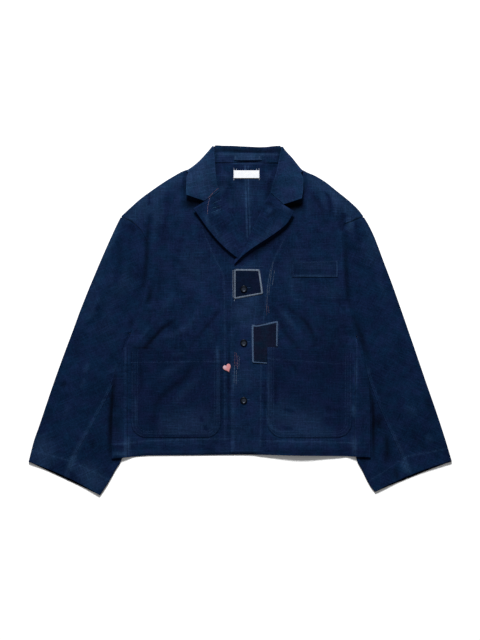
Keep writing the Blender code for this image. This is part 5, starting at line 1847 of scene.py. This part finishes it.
class StitchTree:
    """Geometry Nodes tree that lays stitches along curves."""

    NAMES = ("Pitch", "Length", "Thick", "Rise", "Turn", "Uneven")

    def __init__(self) -> None:
        """Make the group with its named inputs."""
        self.group = bpy.data.node_groups.new("stitch_rows", "GeometryNodeTree")
        face = self.group.interface
        face.new_socket("Geometry", in_out="INPUT", socket_type="NodeSocketGeometry")
        for name in self.NAMES:
            face.new_socket(name, in_out="INPUT", socket_type="NodeSocketFloat")
        face.new_socket("Seed", in_out="INPUT", socket_type="NodeSocketInt")
        face.new_socket("Yarn", in_out="INPUT", socket_type="NodeSocketMaterial")
        face.new_socket("Geometry", in_out="OUTPUT", socket_type="NodeSocketGeometry")
        self.wire()

    def wire(self) -> None:
        """Build the nodes."""
        t = Tree(self.group)
        source = self.group.nodes.new("NodeGroupInput")
        given = {s.name: Wire(t, s) for s in source.outputs if s.name}
        half = given["Length"] * 0.5
        sink = given["Thick"] * -0.9
        start = t.add("ShaderNodeCombineXYZ", None, half * -1.0, None, sink)
        top = t.add("ShaderNodeCombineXYZ", None, None, None, given["Rise"])
        end = t.add("ShaderNodeCombineXYZ", None, half, None, sink)
        arch = t.add("GeometryNodeCurveQuadraticBezier", None, 5, start, top, end)
        ring = t.add("GeometryNodeCurvePrimitiveCircle", {"mode": "RADIUS"}, 6, Radius=given["Thick"] * 0.5)
        loop = t.add("GeometryNodeCurveToMesh", None, Curve=arch, Profile_Curve=ring, Fill_Caps=True)
        spots = t.add("GeometryNodeCurveToPoints", {"mode": "LENGTH"}, Curve=given["Geometry"],
                      Length=given["Pitch"])
        turn = t.add("FunctionNodeAlignRotationToVector", {"axis": "X", "pivot_axis": "Z"},
                     Vector=spots.beside("Tangent"))
        jog = t.add("FunctionNodeRandomValue", {"data_type": "FLOAT"}, None, None, given["Uneven"] * -1.0,
                    given["Uneven"], Seed=given["Seed"], out=1)
        spin = t.add("ShaderNodeCombineXYZ", None, None, None, given["Turn"] + jog)
        twist = t.add("FunctionNodeEulerToRotation", None, spin)
        turned = t.add("FunctionNodeRotateRotation", {"rotation_space": "LOCAL"}, turn, twist)
        one = jog + 1.0
        size = t.add("ShaderNodeCombineXYZ", None, one, one, 1.0)
        rows = t.add("GeometryNodeInstanceOnPoints", None, Points=spots, Instance=loop, Rotation=turned,
                     Scale=size)
        odd = t.add("FunctionNodeRandomValue", {"data_type": "FLOAT"}, Seed=given["Seed"], out=1)
        kept = t.add("GeometryNodeStoreNamedAttribute", {"data_type": "FLOAT", "domain": "INSTANCE"},
                     Geometry=rows, Name="odd", Value=odd)
        real = t.add("GeometryNodeRealizeInstances", None, kept)
        soft = t.add("GeometryNodeSetShadeSmooth", None, real)
        done = t.add("GeometryNodeSetMaterial", None, Geometry=soft, Material=given["Yarn"])
        sink_node = self.group.nodes.new("NodeGroupOutput")
        self.group.links.new(done.socket, sink_node.inputs[0])

    def sew(self, name: str, paths: Sequence[Array], stitch: Stitch, thread: Thread, seed: int
            ) -> bpy.types.Object:
        """Stitch along paths and return a plain mesh object.

        Args:
            name: Name of the new object.
            paths: Arrays of points in millimetres, on the cloth.
            stitch: Sizes of one stitch.
            thread: Colour of the thread.
            seed: Seed of the unevenness.

        Returns:
            The stitches as one mesh.
        """
        curve = bpy.data.curves.new(name + "_path", "CURVE")
        curve.dimensions = "3D"
        for path in paths:
            spline = curve.splines.new("POLY")
            spline.points.add(len(path) - 1)
            for point, place in zip(spline.points, path):
                point.co = (*(float(v) for v in (place + SHIFT) * MM), 1.0)
        carrier = placed(name + "_path", curve)
        modifier = carrier.modifiers.new("stitches", "NODES")
        modifier.node_group = self.group
        wanted = {"Pitch": stitch.pitch * MM, "Length": stitch.length * MM, "Thick": stitch.thick * MM,
                  "Rise": stitch.rise * MM, "Turn": math.radians(stitch.turn), "Uneven": stitch.uneven,
                  "Seed": seed, "Yarn": finish(thread.value)}
        for item in self.group.interface.items_tree:
            if item.in_out == "INPUT" and item.name in wanted:
                modifier[item.identifier] = wanted[item.name]
        bpy.context.view_layer.update()
        made = carrier.evaluated_get(bpy.context.evaluated_depsgraph_get())
        mesh = bpy.data.meshes.new_from_object(made)
        mesh.name = name
        bpy.data.objects.remove(carrier, do_unlink=True)
        bpy.data.curves.remove(curve)
        return placed(name, mesh)


class Surface:
    """Top of the finished cloth, asked by dropping a line on it."""

    def __init__(self, objects: Iterable[bpy.types.Object]) -> None:
        """Take the finished cloth of some objects."""
        graph = bpy.context.evaluated_depsgraph_get()
        self.trees = [BVHTree.FromObject(obj, graph) for obj in objects]

    def drop(self, path: Array, lift: float = 0.0) -> Array:
        """Path laid on the cloth, points that miss it left out.

        Args:
            path: Plan points in millimetres.
            lift: How far above the cloth.

        Returns:
            Points with their heights.
        """
        found = []
        for x, y in path:
            start = Vector(((x + SHIFT[0]) * MM, (y + SHIFT[1]) * MM, 0.05))
            best = None
            for tree in self.trees:
                hit = tree.ray_cast(start, Vector((0, 0, -1)))[0]
                if hit is not None and (best is None or hit.z > best):
                    best = hit.z
            if best is not None:
                found.append((x, y, best / MM + lift))
        return np.array(found)


# ---------------------------------------------------------------- buttons, heart and hand sewing
@dataclass(frozen=True)
class Button:
    """Dished round button with a soft rim and four holes, drawn as flat discs in the dark thread colour:
    painted shade in place of openings.
    """

    name: str
    place: Point
    radius: float = 8.25
    around: int = 40
    profile: Line = (
        (0.0, 1.35), (2.6, 1.3), (3.7, 1.35), (4.6, 1.75), (5.3, 2.35), (6.1, 2.8), (6.8, 2.85), (7.5, 2.55),
        (8.05, 2.0), (8.25, 1.4), (8.0, 0.8), (7.2, 0.4), (5.0, 0.3), (0.0, 0.3))
    hole: float = 0.85
    hole_off: float = 1.75        # from the middle
    hole_top: float = 1.42
    hole_sides: int = 12
    dish: float = 5.0             # radius of the smoother face

    def build(self, base: float) -> bpy.types.Object:
        """Make the button standing at a height.

        Args:
            base: Height of the cloth beneath, in millimetres.
        """
        turns = np.linspace(0, 2 * math.pi, self.around, endpoint=False)
        verts, faces = [], []
        for radius, height in self.profile:
            verts += [(radius * math.cos(a), radius * math.sin(a), height) for a in turns]
        for ring in range(len(self.profile) - 1):
            for k in range(self.around):
                a, b = ring * self.around + k, ring * self.around + (k + 1) % self.around
                faces.append((a, a + self.around, b + self.around, b))
        for k in range(4):
            # The holes are flat discs that take the dark thread colour: painted shade stands in for the
            # openings.
            angle = math.pi / 4 + k * math.pi / 2
            cx, cy = self.hole_off * math.cos(angle), self.hole_off * math.sin(angle)
            start = len(verts)
            spokes = np.linspace(0, 2 * math.pi, self.hole_sides, endpoint=False)
            verts += [(cx + self.hole * math.cos(a), cy + self.hole * math.sin(a), self.hole_top)
                      for a in spokes]
            faces.append(tuple(range(start, start + self.hole_sides)))
        mesh = bpy.data.meshes.new(self.name)
        points = (np.array(verts) + np.array((*self.place, base)) + SHIFT) * MM
        mesh.from_pydata(points.tolist(), [], faces)
        mesh.update()
        weld_points(mesh)
        mesh.shade_smooth()
        obj = placed(self.name + "_look", mesh)
        for name in ("button_plastic", Thread.DARK.value, "button_face"):
            obj.data.materials.append(finish(name))
        middle = np.array((*self.place, 0.0)) + SHIFT
        for face in obj.data.polygons:
            inner = math.dist(face.center[:2], middle[:2] * MM) < self.dish * MM and face.normal.z > 0.3
            face.material_index = 1 if len(face.vertices) == self.hole_sides else 2 * int(inner)
        return obj

    def threads(self, base: float) -> list[Array]:
        """Two short thread paths through the holes."""
        off = self.hole_off * math.cos(math.pi / 4)
        arch = np.array([(-off, 0, 1.45), (0, 0, 1.75), (off, 0, 1.45)]) + (*self.place, base)
        return [arch + (0, d, 0) for d in (-off, off)]


@dataclass(frozen=True)
class Heart:
    """Small heart-shaped patch, tip down before it is turned."""

    place: Point = (-29.6, -110.8)
    size: float = 20.8
    turn: float = math.radians(24)

    def cloth(self, height: Callable[[Array, Array], Array]) -> Cloth:
        """The patch's cloth, softly domed.

        Args:
            height: Gives the height of the cloth beneath.
        """
        a = np.linspace(0, 2 * math.pi, 49)
        hx = 14.4 * np.sin(a) ** 3      # the heart curve, 32 units tall
        hy = 13 * np.cos(a) - 5 * np.cos(2 * a) - 2 * np.cos(3 * a) - np.cos(4 * a) + 2.5
        ring = np.linspace(0, 1, 9)[:, None] * self.size / 32
        x = self.place[0] + ring * (hx * math.cos(self.turn) - hy * math.sin(self.turn))
        y = self.place[1] + ring * (hx * math.sin(self.turn) + hy * math.cos(self.turn))
        dome = 0.6 * (1 - (ring * 32 / self.size) ** 4)
        z = height(x, y) + HALF + SEWN + THIN / 2 + dome
        pale = 0.9 * np.exp(-(np.hypot(x - self.place[0] + 7, y - self.place[1] - 3) / 4.5) ** 2)
        return Cloth("heart_patch", np.dstack([x, y, z])[:, ::-1], thickness=THIN, tone=pale[:, ::-1],
                     weld=True)

    def rim(self) -> Array:
        """Path just inside the patch's edge."""
        grid = self.cloth(lambda x, y: x * 0).grid
        return grid[-1, :, :2] + (grid[-2, :, :2] - grid[-1, :, :2]) * 0.4


@dataclass(frozen=True)
class HandSewing:
    """One run of hand stitches of one thread."""

    name: str
    thread: Thread
    stitch: Stitch
    paths: tuple[Line, ...]
    soft: bool = False


OVERCAST = Stitch(pitch=0.95, length=4.4, thick=0.95, rise=0.7, turn=86, uneven=0.06)
RUNNING = Stitch(pitch=3.2, length=2.4, thick=0.75, rise=0.5, uneven=0.12)
CLOSE = Stitch(pitch=0.9, length=2.2, thick=0.6, rise=0.5, turn=88, uneven=0.08)


def sewn(name: str, thread: Thread, stitch: Stitch, *paths: Line) -> HandSewing:
    """Hand stitches along straight runs."""
    return HandSewing(name, thread, stitch, paths)


def darn(name: str, thread: Thread, thick: float, *paths: Line, soft: bool = False) -> HandSewing:
    """Plain rows over a worn place."""
    return HandSewing("darn_" + name, thread, replace(RUNNING, thick=thick), paths, soft)


HAND = (
    sewn("patch_upper_frame", Thread.PALE, OVERCAST,
         ((-12.3, 53.5), (-12.3, 118.3), (43.2, 117.6), (50.2, 64.6), (-12.3, 53.2)),
         ((43.8, 112.0), (50.8, 66.0))),
    sewn("patch_upper_side", Thread.PALE, replace(OVERCAST, length=2.0, thick=0.8),
         ((-16.6, 117.5), (-16.9, 82.0), (-16.4, 55.0)), ((-12.5, 53.0), (-13.6, 46.5))),
    sewn("patch_lower_frame", Thread.BLUE, OVERCAST,
         ((30.2, -94.5), (29.2, -11.0), (38.0, -12.6), (86.0, -2.8), (85.0, -58.0))),
    sewn("patch_lower_foot", Thread.BLUE, replace(OVERCAST, length=3.0), ((30.0, -95.8), (62.0, -98.4))),
    sewn("above_patch", Thread.TOP, RUNNING, ((-10, 127.5), (54, 127))),
    sewn("buttonholes", Thread.TOP, CLOSE,
         *(((x + 8.6, y + 1.2), (x + 15.5, y + 1.6)) for x, y in ((8.0, 76.0), (7.5, -50.0), (7.0, -185.0)))),
    sewn("label_tacks", Thread.WHITE, replace(CLOSE, pitch=0.8, length=1.3, thick=0.7),
         ((-14.6, 355.6), (-14.8, 328.4)), ((44.0, 355.0), (44.2, 328.6)),
         ((-8.5, 354.2), (-8.6, 350.0)), ((38.2, 354.0), (38.3, 350.0))),
    darn("hem_rust", Thread.RUST, 1.2, ((-12.4, -74), (-13.6, -100)), ((-8.8, -76), (-9.8, -104))),
    darn("hem_pink", Thread.PINK, 1.0, ((-5.4, -82), (-6.6, -110))),
    darn("hem_pale", Thread.PALE, 1.0, ((-13.0, -104), (-14.2, -143)), ((-1.6, -86), (-3.0, -106)),
         ((-8.6, -116), (-9.6, -146))),
    darn("hem_cross", Thread.TEAL, 0.9, ((-17, -127), (-1, -126)), ((-18, -138), (-4, -139)),
         ((-14, -112), (-3, -111))),
    darn("front_pale", Thread.PALE, 0.62, ((76.5, 136), (70.5, 96), (66.5, 62)),
         ((70.0, 118), (63.5, 70), (62.0, 28)), ((80.0, 116), (75.0, 84)), soft=True),
    darn("front_rust", Thread.RUST, 0.55, ((61.5, 36), (62.0, 14)), ((66, 34), (67, 20))),
    darn("neck_rust", Thread.RUST, 1.0, ((-52, 308), (-62, 300), (-69, 290)), ((-66, 296), (-74, 286))),
    darn("neck_pink", Thread.PINK, 1.0, ((-71, 284), (-75, 268), (-76, 250)), soft=True),
    darn("neck_teal", Thread.TEAL, 0.9, ((-64, 262), (-46, 268)), ((-66, 252), (-46, 260)),
         ((-62, 274), (-46, 281))),
    sewn("welt_rows", Thread.TOP, Stitch(), ((123, 104.8), (224, 104.4)), ((224.2, 139), (224.4, 105)),
         ((123, 135.5), (123, 105)), ((124, 134.5), (223, 138))),
    sewn("stand_row", Thread.TOP, Stitch(), ((-57, 388.4), (16, 389), (92, 388))),
    sewn("loop_tacks", Thread.TOP, replace(CLOSE, length=5.6, thick=0.6),
         ((-10.8, 376.4), (-10.8, 384.0)), ((44.0, 376.4), (44.0, 383.0))),
    sewn("loop_rows", Thread.TOP, Stitch(thick=0.45), ((-13.5, 384.4), (49.5, 384.4)),
         ((-13.5, 376), (49.5, 376))),
)


# ---------------------------------------------------------------- the whole jacket
@dataclass
class Jacket:
    """All pieces of the jacket, built and dressed in order."""

    cloths: dict[str, Cloth] = field(default_factory=dict)
    extras: list[bpy.types.Object] = field(default_factory=list)

    SLOTS = {"front": "body_cloth", "back": "body_cloth", "lapel": "body_cloth", "sleeve": "sleeve_cloth",
             "collar": "collar_cloth", "hanger": "collar_cloth", "hip": "pocket_cloth",
             "chest": "pocket_cloth", "neck": "label_cloth", "heart": "heart_cloth"}

    def slot_of(self, name: str) -> str:
        """Record slot of a node."""
        if name.startswith("patch"):
            return "patch_cloth" if name.endswith("upper") else "patch_red_cloth"
        return self.SLOTS[name.split("_")[0]]

    def take(self, cloth: Cloth, rests_on: Sequence[str], flat: tuple[float, float], edge: float = 0.3
             ) -> None:
        """Args:
            cloth: The piece.
            rests_on: Nodes it lies on; not used.
            flat: Width and length of its cut, in metres.
            edge: How much painted shade darkens its turned edges.
        """
        cloth.shade_relief(fold=edge)
        obj = cloth.build()
        slot = self.slot_of(cloth.name)
        obj.data.materials.append(finish(slot))
        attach(obj, "root")
        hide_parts(cloth.name)
        area = cloth.area()
        min(area, flat[0] * flat[1])
        self.cloths[cloth.name] = cloth
        LOG.info("%s: %d points, %.4f m2", cloth.name, cloth.grid.shape[0] * cloth.grid.shape[1], area)

    def body(self) -> None:
        """Backs and fronts."""
        for side in Side:
            maker = Body(side)
            back, front = maker.back(), maker.front()
            back.sew(SEAMS[back.name])
            back.crease((*UNDER_FOLDS, *NECK_FOLDS, *STAND_FOLDS))
            back.crease((*CREASES, *FADING_AND_SHADE), beyond=SIDE_STRIP)
            self.take(back, [], (0.36, 0.70))
            front.sew(SEAMS[front.name])
            front.edge_wear(0.5, 1.6)
            front.crease((*CREASES, *LAPEL_SHADOWS, *FADING_AND_SHADE))
            self.take(front, [back.name], (0.31, 0.70))

    def sleeves(self) -> None:
        """Both sleeves."""
        for side in Side:
            maker = Sleeve(side)
            for cloth, flat in ((maker.upper(), (0.42, 0.66)), (maker.lower(), (0.20, 0.40))):
                cloth.sew(SEAMS[cloth.name])
                cloth.crease((*CREASES, *FADING_AND_SHADE))
                self.take(cloth, [], flat)

    def collar(self) -> None:
        """Leaf, stand and lapels."""
        maker = Collar()
        leaf, stand = maker.leaf(), maker.stand()
        leaf.edge_wear(0.45, 2.0)
        stand.crease(STAND_FOLDS)
        leaf.crease(LEAF_FADING)
        self.take(leaf, ["front_left", "front_right"], (0.10, 0.55), 0.1)
        self.take(stand, ["back_left", "back_right"], (0.045, 0.16))
        for side in Side:
            lapel = maker.lapel(side)
            lapel.crease(LAPEL_FOLDS, relief=True)
            self.take(lapel, ["front_" + side.word], (0.08, 0.20), 0.0)

    def pockets(self) -> None:
        """Hip pockets and the chest welt."""
        for side in Side:
            pocket = HipPocket(side)
            cloth = pocket.cloth()
            cloth.sew(pocket.seams())
            cloth.edge_wear(0.25, 1.6)
            cloth.crease((*CREASES, *FADING_AND_SHADE))
            self.take(cloth, ["front_" + side.word], (0.21, 0.21))
        welt = WELT.cloth(HEIGHTS.right_front)
        welt.edge_wear(0.3, 1.8)
        welt.grid[..., 2] -= 0.45 * np.exp(-((welt.grid[..., 1] - WELT.corners[0][1]) / 2.4) ** 2)
        welt.crease(WELT_FOLDS)
        self.take(welt, ["front_right"], (0.108, 0.039))

    def scraps(self) -> None:
        """Patches, label, loop and heart."""
        upper, lower = PATCH_UPPER.cloth(HEIGHTS.right_front), PATCH_LOWER.cloth(HEIGHTS.right_front)
        self.take(upper, ["front_right"], (0.068, 0.070))
        self.take(lower, ["front_right"], (0.061, 0.099))
        self.take(LABEL.cloth(HEIGHTS.back), ["back_left", "back_right"], (0.060, 0.018))
        loop = LOOP.cloth(Collar.stand_height)
        left, right = LOOP.corners[0][0], LOOP.corners[1][0]
        ends = np.minimum(loop.grid[..., 0] - left, right - loop.grid[..., 0]) / (right - left)
        loop.grid[..., 2] += 1.3 * smooth(ends / 0.3)
        loop.crease(LOOP_FADING)
        self.take(loop, ["collar_stand"], (0.067, 0.012))

    def details(self, tree: StitchTree) -> None:
        """Heart, buttons, buttonholes, patch frames and darning."""
        heart = Heart()
        self.take(heart.cloth(HEIGHTS.front), ["front_left"], (0.0193, 0.0203))
        top = Surface([cloth.obj for cloth in self.cloths.values()])
        ties = []
        for name, place in BUTTONS.items():
            base = float(top.drop(np.array([place]))[0, 2]) - 0.1
            button = Button(name, place)
            obj = button.build(base)
            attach(obj, "root")
            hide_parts(name)
            ties += button.threads(base)
        tie = Stitch(pitch=0.5, length=0.9, thick=0.5, rise=0.3)
        self.thread(tree, "button_ties", ties, tie, Thread.DARK, 3)
        rim = top.drop(heart.rim())
        self.thread(tree, "heart_rim", [rim], replace(CLOSE, pitch=1.4, length=1.6), Thread.PINK, 4)
        for seed, one in enumerate(HAND, start=20):
            paths = [top.drop(polyline(path, 1.5, one.soft)) for path in one.paths]
            self.thread(tree, one.name, [p for p in paths if len(p) > 1], one.stitch, one.thread, seed)

    def seam_stitches(self, tree: StitchTree) -> None:
        """Topstitching of every seam."""
        hips = {"hip_pocket_" + side.word: HipPocket(side).seams() for side in Side}
        for name, seams in {**SEAMS, **hips}.items():
            top = Surface([self.cloths[name].obj])
            lines = [offset_path(seam.path(), row) for seam in seams for row in seam.rows]
            paths = [path for path in (top.drop(line, -0.1) for line in lines) if len(path) > 3]
            seed = 5 if name in hips else len(name)
            self.thread(tree, "topstitch_" + name, paths, Stitch(), Thread.TOP, seed)

    def thread(self, tree: StitchTree, name: str, paths: Sequence[Array], stitch: Stitch, thread: Thread,
               seed: int) -> None:
        """Sew one piece of stitches and let it ride.

        Args:
            tree: The tree that lays stitches.
            name: Name of the piece.
            paths: Points along each row.
            stitch: Sizes of one stitch.
            thread: Colour of the thread.
            seed: Seed of the unevenness.
        """
        obj = tree.sew(name, paths, stitch, thread, seed)
        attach(obj, "root")
        self.extras.append(obj)
        LOG.info("%s: %d faces", name, len(obj.data.polygons))


# ---------------------------------------------------------------- the studio
@dataclass
class Studio:
    """Pale floor, soft light from above the collar, and a camera straight overhead."""

    view_height: float = 1.4933
    view_centre: tuple[float, float] = (-0.0002, 0.0028)
    lens: float = 85.0
    sensor: float = 36.0
    fill: float = 0.28
    key_place: tuple[float, float, float] = (-0.5, 6.0, 4.37)
    key_size: float = 1.8
    key_power: float = 1020.0
    reach: float = 6.0            # half of the floor's side

    def floor(self) -> None:
        """Large plain white floor."""
        mesh = bpy.data.meshes.new("floor")
        corners = ((-1, -1), (1, -1), (1, 1), (-1, 1))
        mesh.from_pydata([(x * self.reach, y * self.reach, 0) for x, y in corners], [], [(0, 1, 2, 3)])
        obj = placed("floor", mesh)
        obj.location.z = -0.0002
        white = Surfacing("floor_white", specular=0.0, roughness=0.9)
        white.give("Base Color", (0.93, 0.93, 0.93))
        mesh.materials.append(white.material)

    def lights(self) -> None:
        """Even fill from all round, and a broad key light from the collar's side."""
        world = bpy.data.worlds.new("studio")
        world.use_nodes = True
        sky = world.node_tree.nodes["Background"].inputs
        sky["Color"].default_value = (1.0, 1.0, 1.0, 1.0)
        sky["Strength"].default_value = self.fill
        bpy.context.scene.world = world
        key = bpy.data.lights.new("key", "AREA")
        key.shape = "DISK"
        key.size = self.key_size
        key.energy = self.key_power
        lamp = placed("key", key)
        lamp.location = self.key_place
        lamp.rotation_euler = (-Vector(self.key_place)).to_track_quat("-Z", "Y").to_euler()

    def camera(self) -> None:
        """Camera straight overhead."""
        data = bpy.data.cameras.new("camera")
        data.lens, data.sensor_width = self.lens, self.sensor
        data.clip_end = 50.0
        obj = placed("camera", data)
        obj.location = (*self.view_centre, self.view_height * self.lens / self.sensor)
        bpy.context.scene.camera = obj

    def build(self) -> None:
        """Everything round the jacket."""
        self.floor()
        self.lights()
        self.camera()
        bpy.context.scene.view_settings.view_transform = "Standard"


def main() -> None:
    """Build the jacket and the studio."""
    logging.basicConfig(level=logging.INFO, format="%(message)s")
    jacket = Jacket()
    jacket.body()
    jacket.sleeves()
    jacket.collar()
    jacket.pockets()
    jacket.scraps()
    bpy.context.view_layer.update()
    tree = StitchTree()
    jacket.seam_stitches(tree)
    jacket.details(tree)
    Studio().build()


if __name__ == "__main__":
    main()
